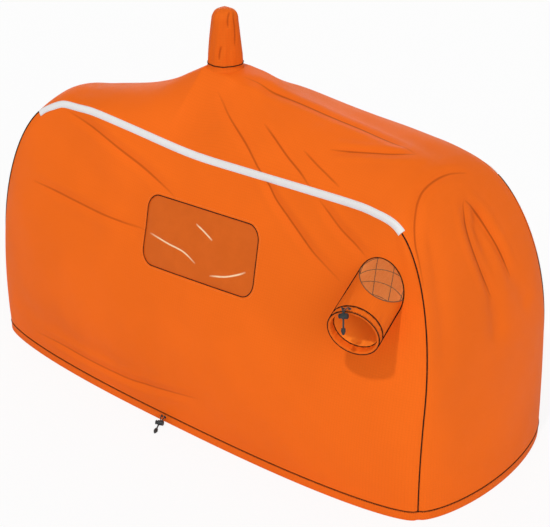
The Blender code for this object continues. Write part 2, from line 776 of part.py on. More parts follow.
def window_outline(margin):
    half_a, half_b = window_width / 2 + margin, window_height / 2 + margin
    corner = window_corner + margin
    points = []
    for turn, side_a, side_b in ((0, 1, 1), (1, -1, 1), (2, -1, -1), (3, 1, -1)):
        for k in range(5):
            angle = math.pi / 2 * (turn + k / 4)
            a = side_a * (half_a - corner) + corner * math.cos(angle)
            b = side_b * (half_b - corner) + corner * math.sin(angle)
            points.append((window_x + a - window_lean * b, window_z + b + window_tilt * a))
    return points


def build_window(parts):
    front, inward, _ = parts["front"]
    through = frame_of((0, 0, 0), (1, 0, 0), (0, 0, 1), (0, 1, 0))
    deep = -2 * base_half_depth
    hole = prism("window_hole", window_outline(0.0), deep, 0.0, frame=through)
    combine(bpy.data.objects["front_panel"], hole, "DIFFERENCE")
    near = fabric + gap
    pane = sheet("window_film", front, inward, near, near + film, amber, 0.12)
    around = prism("window_edge", window_outline(window_margin), deep, 0.0, frame=through)
    combine(pane, around, "INTERSECT")


def vent_frame():
    """On the panel at the vent's middle: across, up, and out along the sleeve."""
    level = math.cos(vent_droop)
    out = Vector((math.sin(vent_splay) * level, -math.cos(vent_splay) * level, -math.sin(vent_droop)))
    across = Vector((0.0, 0.0, 1.0)).cross(out).normalized()
    up = out.cross(across)
    stand = float(wall_stand(np.array([vent_x]), np.array([vent_z]))[0])
    return frame_of((vent_x, -stand, vent_z), across, up, out)


def reach_of_wall(frame, across, up):
    """Distance along the sleeve at which a line beside its middle leaves the panel."""
    along = 0.0
    out = frame.col[2].xyz
    for _ in range(12):
        point = frame @ Vector((across, up, along))
        wall = -float(wall_stand(np.array([point.x]), np.array([point.z]))[0])
        along -= 0.9 * (point.y - wall) / out.y
    return along


def build_sleeve(parts, frame):
    front = parts["front"][0]
    panel = sheet("panel_cut", front - np.array([0.0, vent_seat_gap, 0.0]),
                  np.zeros_like(front) + np.array([0.0, 1.0, 0.0]), 0.0, base_half_depth, slate, 0.5)
    end = vent_length - vent_hem_width - gap
    inner = sleeve_radius - fabric
    back = -sleeve_radius
    sleeve = turned("vent_sleeve", [(back, inner), (back, sleeve_radius), (end, sleeve_radius), (end, inner)],
                    sleeve_sides, frame, orange, 0.55)
    combine(sleeve, panel, "DIFFERENCE", keep_cutter=True)
    bore = turned("vent_bore", [(back, 0.0), (back, inner), (sleeve_radius, inner), (sleeve_radius, 0.0)],
                  sleeve_sides, frame, slate, 0.5)
    combine(bpy.data.objects["front_panel"], bore, "DIFFERENCE")
    facing = Vector((math.sin(net_facing), math.cos(net_facing), 0.0))
    beside = Vector((math.cos(net_facing), -math.sin(net_facing), 0.0))
    normal = (facing * net_slope - Vector((0.0, 0.0, 1.0))).normalized()
    slant = frame_of((0.0, 0.0, net_start), beside, normal.cross(beside), normal)
    wide = cutter_reach * sleeve_radius
    square = [(-wide, -wide), (wide, -wide), (wide, wide), (-wide, wide)]
    combine(sleeve, prism("notch", square, -gap, wide, frame=frame @ slant), "DIFFERENCE")
    middle = sleeve_radius - fabric / 2
    screen = turned("vent_mesh", [(back, middle - net / 2), (back, middle + net / 2),
                                  (end, middle + net / 2), (end, middle - net / 2)],
                    sleeve_sides, frame, brown, 0.7)
    combine(screen, prism("net_edge", square, 0.0, wide, frame=frame @ slant), "INTERSECT")
    combine(screen, panel, "DIFFERENCE")
    holes_points, holes_faces = [], []
    half = (net_pitch - net_bar) / 2
    across_count = int(sleeve_radius * net_reach / net_pitch)
    along_count = int(2 * sleeve_radius / net_pitch) + 2
    for i in range(-across_count, across_count + 1):
        for j in range(-along_count, along_count + 1):
            side, along = i * net_pitch, (j + 0.5) * net_pitch
            corners = [(side - half, along - half), (side + half, along - half),
                       (side + half, along + half), (side - half, along + half)]
            if not all(net_covers(frame, facing, beside, a, b) for a, b in corners):
                continue
            first = len(holes_points)
            for height in (net_cut_low * sleeve_radius, net_cut_high * sleeve_radius):
                holes_points += [beside * a + facing * height + Vector((0.0, 0.0, b)) for a, b in corners]
            box = ((3, 2, 1, 0), (4, 5, 6, 7), (0, 1, 5, 4), (1, 2, 6, 5), (2, 3, 7, 6), (3, 0, 4, 7))
            holes_faces += [tuple(first + c for c in face) for face in box]
    holes = make_object("net_holes", [frame @ p for p in holes_points], holes_faces, slate, 0.5)
    combine(screen, holes, "DIFFERENCE")
    print("net gaps", len(holes_faces) // 6)


def net_covers(frame, facing, beside, side, along):
    """Whether a place on the sleeve lies on the net, clear of its edges."""
    height = math.sqrt(max(sleeve_radius ** 2 - side ** 2, 0.0))
    if height < net_least_rise * sleeve_radius:
        return False
    point = beside * side + facing * height
    below = reach_of_wall(frame, point.x, point.y)
    above = net_start + net_slope * height
    return below + net_edge_bars * net_bar < along < above - net_edge_bars * net_bar


def vent_eyelets(frame):
    step = 2 * math.pi / sleeve_sides
    corner = round(vent_lock_turn / step) * step
    frames = []
    for side in (0.5, -0.5):
        angle = corner + side * step
        normal = Vector((math.cos(angle), math.sin(angle), 0.0))
        tangent = Vector((math.sin(angle), -math.cos(angle), 0.0))
        place = normal * sleeve_radius * math.cos(step / 2) + Vector((0.0, 0.0, vent_length - vent_hem_width / 2))
        frames.append(frame @ frame_of(place, tangent, normal.cross(tangent), normal))
    return frames, corner, step


def build_vent(parts):
    frame = vent_frame()
    build_sleeve(parts, frame)
    frames, corner, step = vent_eyelets(frame)

    def corners_at(i, inset):
        angle = i * step
        low, high = sleeve_radius - hem_depth + inset, sleeve_radius - inset
        near, far = vent_length - vent_hem_width + inset, vent_length - inset
        return [frame @ Vector((r * math.cos(angle), r * math.sin(angle), w))
                for r, w in ((low, near), (high, near), (high, far), (low, far))]

    channel_ring("vent_hem", corners_at, sleeve_sides, frames)
    for name, place in zip(("vent_eyelet_left", "vent_eyelet_right"), frames):
        build_eyelet(name, place)
    middle_radius = sleeve_radius - hem_depth / 2
    around = [corner + (k + 1) * step for k in range(sleeve_sides - 1)]
    middle = [frame @ Vector((middle_radius * math.cos(a), middle_radius * math.sin(a),
                              vent_length - vent_hem_width / 2)) for a in around]
    held_cord("vent_drawcord", middle, frames)
    top = Vector((math.cos(corner), math.sin(corner), 0.0))
    aside = Vector((math.sin(corner), -math.cos(corner), 0.0))
    exit_frame = frame @ frame_of(top * sleeve_radius * math.cos(step / 2) ** 2
                                  + Vector((0.0, 0.0, vent_length - vent_hem_width / 2)),
                                  aside, top, Vector((0.0, 0.0, 1.0)))
    build_fastening("vent", frames, exit_frame, vent_lock_place, vent_tail_way, vent_tail_routes)


def build_fastening(prefix, frames, exit_frame, place, way, routes):
    """Tails, cord lock and pull, set out from the middle of the two eyelets."""
    along = (exit_frame.to_3x3() @ Vector(way)).normalized()
    over = exit_frame.col[2].xyz
    over = (over - along * over.dot(along)).normalized()
    lock_frame = frame_of(exit_frame @ Vector(place), along.cross(over), along, over)
    build_lock(prefix, lock_frame)
    build_cord_end(prefix + "_cord_end", lock_frame @ Matrix.Translation((0.0, end_place, 0.0)))
    build_tails(prefix, frames, exit_frame, lock_frame, routes)


def build_base(parts):
    loop, inward = base_loop(parts)
    count = len(loop)
    ahead = np.roll(loop, -1, axis=0)
    holds = [k for k in range(parts["front"][0].shape[1] - 1)
             if loop[k][0] <= base_lock_x < ahead[k][0]]
    cell = holds[0]
    run = unit(ahead[cell] - loop[cell])
    share = (base_lock_x - loop[cell][0]) / (ahead[cell][0] - loop[cell][0])
    centre = loop[cell] + (ahead[cell] - loop[cell]) * share
    across = Vector((run[0], run[1], 0.0))
    out = Vector((run[1], -run[0], 0.0))
    up = Vector((0.0, 0.0, 1.0))
    frames = []
    for side in (-1, 1):
        place = Vector((centre[0], centre[1], base_exit_height)) + across * side * base_eyelet_spread
        frames.append(frame_of(place, across, out.cross(across), out))

    def corners_at(i, inset):
        x, y = loop[i]
        way = inward[i]
        return [(x + way[0] * d, y + way[1] * d, z)
                for d, z in ((inset, inset), (hem_depth - inset, inset),
                             (hem_depth - inset, hem_height - inset), (inset, hem_height - inset))]

    channel_ring("base_hem", corners_at, count, frames)
    for name, place in zip(("base_eyelet_left", "base_eyelet_right"), frames):
        build_eyelet(name, place)
    half = hem_depth / 2
    route = [(loop[k % count][0] + inward[k % count][0] * half, loop[k % count][1] + inward[k % count][1] * half,
              base_exit_height) for k in range(cell + 1, cell + 1 + count)]
    held_cord("base_drawcord", route[::-1], frames)
    exit_frame = frame_of(Vector((centre[0], centre[1], base_exit_height)), across, out, up)
    place = (base_lock_place[0], base_lock_place[1], base_lock_place[2] - base_exit_height)
    build_fastening("base", frames, exit_frame, place, base_tail_way, base_tail_routes)


def centre_on_ground():
    """Move the whole part so that the middle of its box, without the free cords, is over the origin."""
    free = ("_tail_", "_lock_", "_cord_end")
    corners = [item.matrix_world @ Vector(corner) for item in bpy.data.objects
               if not any(word in item.name for word in free) for corner in item.bound_box]
    middle = [(min(c[k] for c in corners) + max(c[k] for c in corners)) / 2 for k in (0, 1)]
    for item in bpy.data.objects:
        item.matrix_world = Matrix.Translation((-middle[0], -middle[1], 0.0)) @ item.matrix_world


def main():
    clear_scene()
    parts = bag()
    build_body(parts)
    build_pocket(parts)
    build_window(parts)
    build_vent(parts)
    build_base(parts)
    bpy.context.view_layer.update()
    centre_on_ground()


main()
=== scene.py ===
import json
import math

import bpy
import numpy as np
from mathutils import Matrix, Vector
from mathutils.bvhtree import BVHTree


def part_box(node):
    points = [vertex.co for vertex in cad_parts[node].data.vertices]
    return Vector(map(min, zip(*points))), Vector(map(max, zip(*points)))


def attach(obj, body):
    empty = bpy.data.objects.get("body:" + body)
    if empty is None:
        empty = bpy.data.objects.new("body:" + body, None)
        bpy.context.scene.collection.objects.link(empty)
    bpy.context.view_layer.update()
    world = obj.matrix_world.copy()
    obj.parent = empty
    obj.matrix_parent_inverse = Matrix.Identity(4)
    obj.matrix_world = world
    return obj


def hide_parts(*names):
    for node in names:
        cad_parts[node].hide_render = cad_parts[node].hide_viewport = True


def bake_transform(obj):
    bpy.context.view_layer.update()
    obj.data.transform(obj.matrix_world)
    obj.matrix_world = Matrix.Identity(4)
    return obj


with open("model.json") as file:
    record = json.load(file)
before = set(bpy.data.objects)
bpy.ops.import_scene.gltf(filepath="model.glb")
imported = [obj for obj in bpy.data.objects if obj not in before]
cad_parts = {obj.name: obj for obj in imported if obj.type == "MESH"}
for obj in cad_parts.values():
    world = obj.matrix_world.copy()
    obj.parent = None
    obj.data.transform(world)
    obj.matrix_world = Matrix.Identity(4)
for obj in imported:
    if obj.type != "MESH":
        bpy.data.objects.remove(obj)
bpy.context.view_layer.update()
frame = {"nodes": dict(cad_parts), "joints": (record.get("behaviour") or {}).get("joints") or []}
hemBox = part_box("base_hem")
toFrame = np.array([0.0, (hemBox[0][1] + hemBox[1][1]) / 2, 0.0])  # from the shell's own middle to its place
print("frame loaded, the seams' middle is at y", round(toFrame[1], 4))


# Node trees: a wire is one output socket, and sums of wires add their own Math nodes

def mathNode(operation, swapped=False):
    def added(wire, *others):
        terms = (*others, wire) if swapped else (wire, *others)
        return wire.bench.add("ShaderNodeMath", {"operation": operation}, dict(enumerate(terms)))
    return added


class Wire:
    __add__, __radd__ = mathNode("ADD"), mathNode("ADD", True)
    __sub__, __rsub__ = mathNode("SUBTRACT"), mathNode("SUBTRACT", True)
    __mul__, __truediv__, __abs__ = mathNode("MULTIPLY"), mathNode("DIVIDE"), mathNode("ABSOLUTE")
    sine, fract, most = mathNode("SINE"), mathNode("FRACT"), mathNode("MAXIMUM")

    def __init__(self, bench, socket):
        self.bench, self.socket = bench, socket

    def ramp(self, low, high):  # 0 below low, 1 above high
        return self.bench.add("ShaderNodeMapRange", {"interpolation_type": "SMOOTHSTEP"},
                              {"Value": self, "From Min": low, "From Max": high})

    def other(self, name):
        return Wire(self.bench, self.socket.node.outputs[name])


class Bench:
    def __init__(self, tree):
        self.tree = tree

    def add(self, kind, settings=None, sockets=None, output=0):
        made = self.tree.nodes.new(kind)
        for key, value in (settings or {}).items():
            setattr(made, key, value)
        for key, value in (sockets or {}).items():
            if isinstance(value, Wire):
                self.tree.links.new(value.socket, made.inputs[key])
            else:
                made.inputs[key].default_value = value
        return Wire(self, made.outputs[output]) if len(made.outputs) else made

    def blend(self, factor, first, second):  # two colours
        return self.add("ShaderNodeMix", {"data_type": "RGBA"}, {0: factor, 6: first, 7: second}, 2)

    def noise(self, place, scale, detail=3.0, roughness=0.5, distortion=0.0):
        return self.add("ShaderNodeTexNoise", None, {"Vector": place, "Scale": scale, "Detail": detail,
                                                     "Roughness": roughness, "Distortion": distortion})

    def place(self):
        return self.add("ShaderNodeTexCoord", None, None, "Object")

    def cut(self):  # lengths along the cut piece and across it
        along = self.add("ShaderNodeSeparateXYZ", None, {0: self.add("ShaderNodeUVMap", {"uv_map": "cut"})})
        return along, along.other("Y")

    def pleats(self, narrow, wide):  # 1 on the crease lines, 0 beside them; the mask for the painted crease shade and the painted glints
        lines = []
        for letter in ("A", "B"):
            reach, hold = (self.add("ShaderNodeAttribute", {"attribute_name": "pleat" + kind + letter}, None, "Fac")
                           for kind in ("Gap", "Hold"))
            lines.append((1 - abs(reach).ramp(narrow, wide)) * hold)
        return lines[0].most(lines[1])


def newMaterial(name):
    made = bpy.data.materials.new(name)
    made.use_nodes = True
    made.node_tree.nodes.clear()
    return made, Bench(made.node_tree)


def finishShader(made, bench, colour, roughness, height, distance, strength, **sockets):
    bump = bench.add("ShaderNodeBump", None, {"Strength": strength, "Distance": distance, "Height": height})
    named = {"sheen": "Specular IOR Level", "metal": "Metallic", "glow": "Emission Strength",
             "glowColour": "Emission Color"}
    shader = bench.add("ShaderNodeBsdfPrincipled", None,
                       {"Base Color": colour, "Roughness": roughness, "Normal": bump,
                        **{named[key]: value for key, value in sockets.items()}})
    bench.add("ShaderNodeOutputMaterial", None, {"Surface": shader})
    shader.socket.node.name = "finish"
    return made


def opaque(colour, gain=1.0):
    return (colour[0] * gain, colour[1] * gain, colour[2] * gain, 1.0)


# Fabric: coated ripstop, with its weave in the cut's own lengths, and painted shade along its creases from the pleats

fabric = {
    "colour": (0.850, 0.144, 0.0105), "paleGain": 1.03, "deepGain": 0.96, "cloudScale": 3.1, "sheen": 0.035,
    # the fold colour darkens the ripstop's grid lines, and is also painted shade along the creases (foldShade is its
    # share)
    "gridAndCreaseShadeColour": (0.470, 0.070, 0.0060), "foldHalfWidth": 0.0018, "foldShade": 0.80, "foldRise": 0.0006,
    "gridPitch": 0.0062, "gridWidth": 0.0007, "gridShade": 0.10, "gridRise": 0.00009,
    "threadPitch": 0.00055, "threadRise": 0.00003, "creaseScale": 21.0, "crinkle": 0.0009,
    "roughness": 0.50, "rubScale": 34.0, "rub": 0.16,
    # innerPaintedGlow is a painted glow on the cloth's inner side, standing in for daylight through the cloth
    "innerColour": (0.800, 0.175, 0.018), "innerDeepGain": 0.94, "innerPaintedGlow": 0.09, "innerSheen": 0.1,
}


def clothMaterial(name, gain=1.0, crinkle=1.0, folds=True, colour=fabric["colour"], glow=0.0):
    made, bench = newMaterial(name)
    along, across = bench.cut()
    place = bench.place()
    share = fabric["gridWidth"] / fabric["gridPitch"]
    warp, weft = (1 - abs((way / fabric["gridPitch"]).fract() - 0.5).ramp(share * 0.35, share * 0.9)
                  for way in (along, across))
    gridLines = warp.most(weft)
    turn = 2 * math.pi / fabric["threadPitch"]
    threads = (along * turn).sine() * (across * turn).sine()
    cloud = bench.noise(place, fabric["cloudScale"])
    rub = bench.noise(place, fabric["rubScale"], 4.0, 0.6)
    crease = bench.noise(place, fabric["creaseScale"], 3.0, 0.42, 0.7)
    tint = bench.blend(cloud.ramp(0.34, 0.66), opaque(colour, gain * fabric["deepGain"]),
                       opaque(colour, gain * fabric["paleGain"]))
    tint = bench.blend(gridLines * fabric["gridShade"], tint, opaque(fabric["gridAndCreaseShadeColour"], gain))
    height = (gridLines * fabric["gridRise"] + threads * fabric["threadRise"]
              + crease * (fabric["crinkle"] * crinkle))
    if folds:
        # painted shade: the crease lines are darkened in the base colour, standing in for shade in the folds
        shade = bench.pleats(fabric["foldHalfWidth"] * 0.35, fabric["foldHalfWidth"] * 1.9)
        tint = bench.blend(shade * fabric["foldShade"], tint, opaque(fabric["gridAndCreaseShadeColour"], gain))
        height = height - shade * fabric["foldRise"]
    roughness = fabric["roughness"] + (rub - 0.5) * fabric["rub"] - gridLines * 0.04
    return finishShader(made, bench, tint, roughness, height, 1.0, 1.0, sheen=fabric["sheen"], glow=glow,
                        glowColour=opaque(colour))


def coatingMaterial():  # the cloth's coated inner side, with a painted glow that stands for the little daylight that comes through it
    made, bench = newMaterial("innerCoating")
    place, colour = bench.place(), fabric["innerColour"]
    cloud = bench.noise(place, 5.0)
    tint = bench.blend(cloud.ramp(0.34, 0.66), opaque(colour, fabric["innerDeepGain"]), opaque(colour))
    return finishShader(made, bench, tint, 0.44 + cloud * 0.12, bench.noise(place, 24.0, 3.0, 0.42), 0.0012, 0.8,
                        sheen=fabric["innerSheen"], glow=fabric["innerPaintedGlow"], glowColour=opaque(colour))


def tapeMaterial():  # retroreflective tape: pale grey, a fine honeycomb of glass beads
    made, bench = newMaterial("reflectiveTape")
    place = bench.place()
    cells = bench.add("ShaderNodeTexVoronoi", {"feature": "DISTANCE_TO_EDGE"}, {"Vector": place, "Scale": 520.0})
    scuff = bench.noise(place, 60.0, 4.0, 0.6)
    tint = bench.blend(cells.ramp(0.02, 0.12) * 0.6 + scuff * 0.4, opaque((0.690, 0.675, 0.672)),
                       opaque((0.810, 0.790, 0.786)))
    return finishShader(made, bench, tint, 0.42 + scuff * 0.14, cells, 0.0002, 0.4, sheen=0.2)


def threadMaterial(name, deep, pale, twist):
    made, bench = newMaterial(name)
    place = bench.place()
    wave, patch = bench.noise(place, twist, 2.0), bench.noise(place, 40.0)
    tint = bench.blend((wave * 0.6 + patch * 0.4).ramp(0.3, 0.7), opaque(deep), opaque(pale))
    return finishShader(made, bench, tint, 0.7 + patch * 0.15, wave, 0.0003, 0.5, sheen=0.12)


def cordMaterial():  # braided cord, its strands crossing along the cord's own map
    made, bench = newMaterial("drawcordBraid")
    along, around = bench.cut()
    left, right = (((along * 900.0 + around * lean) * (2 * math.pi)).sine() for lean in (4.0, -4.0))
    strands = left.most(right)
    tint = bench.blend(strands.ramp(-0.4, 0.9), opaque((0.012, 0.017, 0.018)), opaque((0.050, 0.064, 0.067)))
    return finishShader(made, bench, tint, 0.78 - strands * 0.08, strands, 0.0002, 0.8)


def plasticMaterial(name, colour, roughness):  # moulded, with a fine spark-eroded grain and rubbed places
    made, bench = newMaterial(name)
    place = bench.place()
    rub = bench.noise(place, 240.0)
    tint = bench.blend(rub.ramp(0.42, 0.72), opaque(colour), opaque(colour, 1.35))
    return finishShader(made, bench, tint, roughness + rub * 0.18 - 0.06, bench.noise(place, 2600.0, 2.0),
                        0.0001, 0.25)


def metalMaterial(name, colour, roughness):  # brushed, a little duller where it is handled
    made, bench = newMaterial(name)
    place = bench.place()
    stretched = bench.add("ShaderNodeMapping", None, {"Vector": place, "Scale": (1800.0, 300.0, 300.0)})
    brushed, worn = bench.noise(stretched, 1.0, 2.0), bench.noise(place, 180.0)
    tint = bench.blend(worn, opaque(colour, 0.85), opaque(colour, 1.15))
    return finishShader(made, bench, tint, roughness + brushed * 0.15, brushed, 0.0001, 0.2,
                        metal=0.88 + worn * 0.1)


def filmMaterial():  # tinted vinyl pane, with painted glints (highlights) along its creases, partly its own stress-whitening
    made, bench = newMaterial("windowVinyl")
    place = bench.place()
    ripple, haze = bench.noise(place, 9.0, 2.0), bench.noise(place, 26.0, 4.0, 0.6)
    # painted glints: the crease lines get a pale cream base colour, standing in for the film's reflections
    white = bench.pleats(0.0004, 0.0030)
    tint = bench.blend(haze.ramp(0.35, 0.7), opaque((0.600, 0.106, 0.0075)), opaque((0.630, 0.113, 0.0085)))
    tint = bench.blend(white * 0.85, tint, opaque((0.980, 0.760, 0.480)))
    return finishShader(made, bench, tint, 0.26 + haze * 0.10 + white * 0.3, ripple - white * 0.2, 0.003, 0.6,
                        sheen=0.16)


finishes = {
    "shell": clothMaterial("shellRipstop"),
    "sleeve": clothMaterial("sleeveRipstop", 0.97, 0.6),
    "pocket": clothMaterial("pocketRipstop", 0.93, 0.7),
    "hem": clothMaterial("hemRipstop", 0.95, 0.8, folds=False),
    "tape": tapeMaterial(),
    # the sleeve's inner side: painted light, a lighter colour than the shell and a faint glow, for the shaded inside
    # of its mouth
    "lining": clothMaterial("sleeveLiningPaintedLight", 1.0, 0.6, folds=False, colour=(0.930, 0.265, 0.028), glow=0.115),
    "inner": coatingMaterial(),
    "piping": threadMaterial("seamPiping", (0.010, 0.004, 0.002), (0.024, 0.009, 0.004), 700.0),
    "stitch": threadMaterial("darkStitching", (0.018, 0.007, 0.003), (0.042, 0.015, 0.006), 1500.0),
    "paleStitch": threadMaterial("paleStitching", (0.420, 0.400, 0.390), (0.600, 0.580, 0.570), 1500.0),
    "net": threadMaterial("netStrand", (0.900, 0.270, 0.065), (0.960, 0.330, 0.090), 1500.0),
    "netRib": threadMaterial("netRibbing", (0.160, 0.085, 0.045), (0.240, 0.130, 0.070), 1200.0),
    "cord": cordMaterial(),
    "lock": plasticMaterial("lockPlastic", (0.017, 0.024, 0.026), 0.50),
    "end": plasticMaterial("pullRubber", (0.014, 0.020, 0.021), 0.60),
    "spring": metalMaterial("springSteel", (0.55, 0.55, 0.56), 0.26),
    "eyelet": metalMaterial("eyeletGunmetal", (0.105, 0.112, 0.118), 0.34),
    "film": filmMaterial(),
}
print("finishes made:", len(finishes))


# Rows of points, and meshes made of them

def unit(vectors):
    return vectors / np.maximum(np.linalg.norm(vectors, axis=-1, keepdims=True), 1e-12)


def clamp(value):
    return np.clip(value, 0.0, 1.0)


def ease(start, end, value):
    share = clamp((value - start) / (end - start))
    return share * share * (3.0 - 2.0 * share)


def bumps(value, parts):  # smooth rises: each one its place, half-width and height
    return sum(height * np.exp(-((value - place) / width) ** 2) for place, width, height in parts)


def circle(count):
    return np.arange(count) * 2 * math.pi / count


def arcs(corners, radius, count, first=0):  # a quarter turn about each corner, the first at a given quarter
    points = []
    for number, (a, b) in enumerate(corners):
        for k in range(count):
            angle = math.pi / 2 * ((number + first) % 4 + k / (count - 1))
            points.append((a + radius * math.cos(angle), b + radius * math.sin(angle)))
    return points


def looped(points, axis=0):
    return np.concatenate([points, np.take(points, [0], axis=axis)], axis=axis)


def runLengths(points):
    return np.concatenate([[0.0], np.cumsum(np.linalg.norm(np.diff(points, axis=0), axis=1))])


def evenPlaces(points, count, endpoint=True):  # places at equal lengths along a row of points
    lengths = runLengths(points)
    places = np.linspace(0.0, lengths[-1], count, endpoint=endpoint)
    return np.stack([np.interp(places, lengths, points[:, k]) for k in range(points.shape[1])], axis=1), places


def smoothRoute(points, step):  # a curve through a few places, cut into even steps
    route = np.array(points)
    ends = np.concatenate([[2 * route[0] - route[1]], route, [2 * route[-1] - route[-2]]])
    fine = []
    for a, b, c, d in zip(ends, ends[1:], ends[2:], ends[3:]):
        for t in np.linspace(0.0, 1.0, 12, endpoint=False):
            fine.append(0.5 * (2 * b + (c - a) * t + (2 * a - 5 * b + 4 * c - d) * t ** 2
                               + (3 * b - a - 3 * c + d) * t ** 3))
    fine = np.array(fine + [route[-1]])
    return evenPlaces(fine, max(2, round(runLengths(fine)[-1] / step)) + 1)[0]


def linkObject(name, data):
    made = bpy.data.objects.new(name, data)
    bpy.context.scene.collection.objects.link(made)
    return made


def linkMesh(name, points, faces, finish, cuts=None, sharp=None):
    mesh = bpy.data.meshes.new(name)
    mesh.from_pydata(np.reshape(points, (-1, 3)).tolist(), [], faces)
    if cuts is not None:
        mesh.uv_layers.new(name="cut").data.foreach_set("uv", np.array(cuts, dtype=np.float32).ravel())
    mesh.materials.append(finishes[finish])
    mesh.shade_smooth()
    if sharp:
        mesh.set_sharp_from_angle(angle=math.radians(sharp))
    return linkObject(name, mesh)


def loft(points, alongs, arounds, flip=False):  # faces between closed rings, round again if alongs has one more
    rows, sides = points.shape[:2]
    i, k = np.mgrid[0:len(alongs) - 1, 0:sides]
    corners = ((i, k), (i, k + 1), (i + 1, k + 1), (i + 1, k))
    if flip:
        corners = corners[:1] + corners[:0:-1]
    faces = np.stack([a % rows * sides + b % sides for a, b in corners], axis=-1)
    cuts = np.stack([np.stack([alongs[a], arounds[b]], axis=-1) for a, b in corners], axis=-2)
    return faces.reshape(-1, 4).tolist(), cuts.reshape(-1, 2).tolist()


def sweepTube(name, path, radius, finish, sides=8, flatten=1.0, lifts=None, closed=False, move=toFrame):
    # a tube along a row of points, with its length and its way round in its map
    runs = unit(np.roll(path, -1, axis=0) - np.roll(path, 1, axis=0) if closed else np.gradient(path, axis=0))
    if lifts is None:
        lift = np.zeros_like(runs)
        lift[0] = unit(np.cross(runs[0], [0.31, 0.17, 0.93]))
        for k in range(1, len(path)):
            lift[k] = unit(lift[k - 1] - runs[k] * (lift[k - 1] @ runs[k]))
    else:
        lift = unit(lifts - runs * np.sum(lifts * runs, axis=1, keepdims=True))
    angles = circle(sides)[:, None]
    ring = np.cross(runs, lift)[:, None] * np.cos(angles) + lift[:, None] * np.sin(angles) * flatten
    points = path[:, None] + ring * radius
    alongs, arounds = runLengths(looped(path) if closed else path), np.arange(sides + 1) / sides
    faces, cuts = loft(points, alongs, arounds)
    if not closed:
        last = (len(path) - 1) * sides
        faces += [list(range(sides))[::-1], list(range(last, last + sides))]
        cuts += [(along, around) for along in alongs[[0, -1]] for around in arounds[:-1]]
    return linkMesh(name, points + move, faces, finish, cuts, 60)


pieces, areas = {}, {}


def addPiece(key, piece, slot, *replaced, body="bag"):
    pieces[key] = piece
    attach(piece, body)
    if replaced:
        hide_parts(*replaced)


def addCloth(key, node, grid, outward, finish, *others, **more):
    addPiece(key, closedSheet(key + "Cloth", grid, outward, finish, *others, **more), "shell", node)


def addTube(key, slot, path, radius, finish, *replaced, **more):
    addPiece(key, sweepTube(key, path, radius, finish, **more), slot, *replaced)


# Shell: a front and a rear panel, and one band that runs from end to end over the roof

shell = {
    "halfLength": 0.640, "seamHeight": 0.662, "seamSag": 0.015, "dipInset": 0.1062,
    "shoulderRun": 0.177, "shoulderRise": 0.384, "shoulderShare": 0.77,
    "baseHalfDepth": 0.239, "topHalfDepth": 0.174, "sideSwell": 0.014,
    "frontBowBase": 0.069, "frontBowMiddle": 0.054, "endBowBase": 0.068,
    "ridgeAtPeak": 0.137, "ridgeAtRight": 0.071, "ridgeFall": 0.182, "rearLeftDroop": 0.109,
    "roofRoundness": 0.67, "panelRoundness": 0.56,
    "hemTop": 0.0243, "cloth": 0.0009,
    "sideCells": 118, "topCells": 262, "bandCells": 72, "rearCells": (84, 176), "edgeCells": 8,
    "endRun": 0.06, "pull": 0.8, "pullRun": 0.115, "onTop": (0.70, 0.95), "onRoof": (0.60, 0.45),
    "atEnd": (0.50, 0.60), "besideSeams": 0.35, "droopBack": (-0.12, 0.16), "droopLeft": (-0.55, -0.12),
    "aboveHem": 0.05,
    "settle": ((-0.54, 0.08, 0.0115), (-0.495, 0.035, 0.006), (-0.425, 0.04, 0.0045), (-0.06, 0.12, 0.0045),
               (0.32, 0.20, -0.0025), (0.475, 0.035, 0.0050)),
    "fill": ((-0.54, 0.07, 0.009), (-0.495, 0.04, 0.008), (-0.425, 0.04, 0.002), (-0.20, 0.06, 0.006),
             (-0.06, 0.12, 0.0045), (0.005, 0.055, 0.007), (0.30, 0.12, -0.003), (0.475, 0.035, 0.005)),
}
peak = {"x": -0.104, "radius": 0.0405, "tipRadius": 0.0290, "height": 0.137, "sides": 112, "rows": 90,
        "seam": 0.0105, "seamTilt": 0.0015, "seamFacing": math.radians(-50.0), "flare": 0.004,
        "lap": 0.008, "calm": (0.045, 0.085), "piping": 0.0011, "crease": (0.0016, 0.0045, 0.4), "creaseReach": 0.007,
        "waves": ((0.0011, 3, 0.5, 0), (0.0008, 5, 0.0, 22), (0.0005, 11, 0.0, -35))}

straightSide = shell["seamHeight"] - shell["shoulderRise"]
shoulderPath = math.pi / 2 * math.sqrt((shell["shoulderRun"] ** 2 + shell["shoulderRise"] ** 2) / 2)
dipReach = shell["halfLength"] - shell["dipInset"]
roofHalf = shell["halfLength"] - shell["shoulderRun"]  # half the length between the shoulders
seamPath = 2 * straightSide + 2 * shoulderPath + 2 * roofHalf
split = straightSide + shell["shoulderShare"] * shoulderPath  # where the panel's side ends and its top edge starts

# Broad folds: start, end, half-width and depth. The front's are x and z, the roof's x and y, the right end's y and z
broadFolds = {
    "front": (((-0.52, 0.60), (-0.16, 0.47), 0.035, 0.007), ((-0.60, 0.45), (-0.30, 0.42), 0.035, 0.005),
              ((0.10, 0.66), (0.38, 0.50), 0.035, 0.007), ((0.20, 0.66), (0.44, 0.57), 0.030, 0.005),
              ((-0.54, 0.12), (-0.10, 0.10), 0.035, 0.005)),
    "roof": (((-0.02, -0.05), (0.13, -0.17), 0.030, 0.008), ((0.05, -0.03), (0.26, -0.16), 0.028, 0.006),
             ((0.02, 0.06), (0.44, 0.03), 0.035, 0.007), ((-0.20, 0.05), (-0.46, 0.09), 0.035, 0.006)),
    "end": (((0.02, 0.60), (0.00, 0.38), 0.028, 0.008), ((0.03, 0.60), (0.12, 0.40), 0.028, 0.006),
            ((-0.14, 0.62), (-0.19, 0.40), 0.028, 0.006)),
}


def seamDip(x):  # how far the seam hangs below a level line
    return shell["seamSag"] * clamp(1 - (x / dipReach) ** 2) ** 2 + bumps(x, shell["settle"])


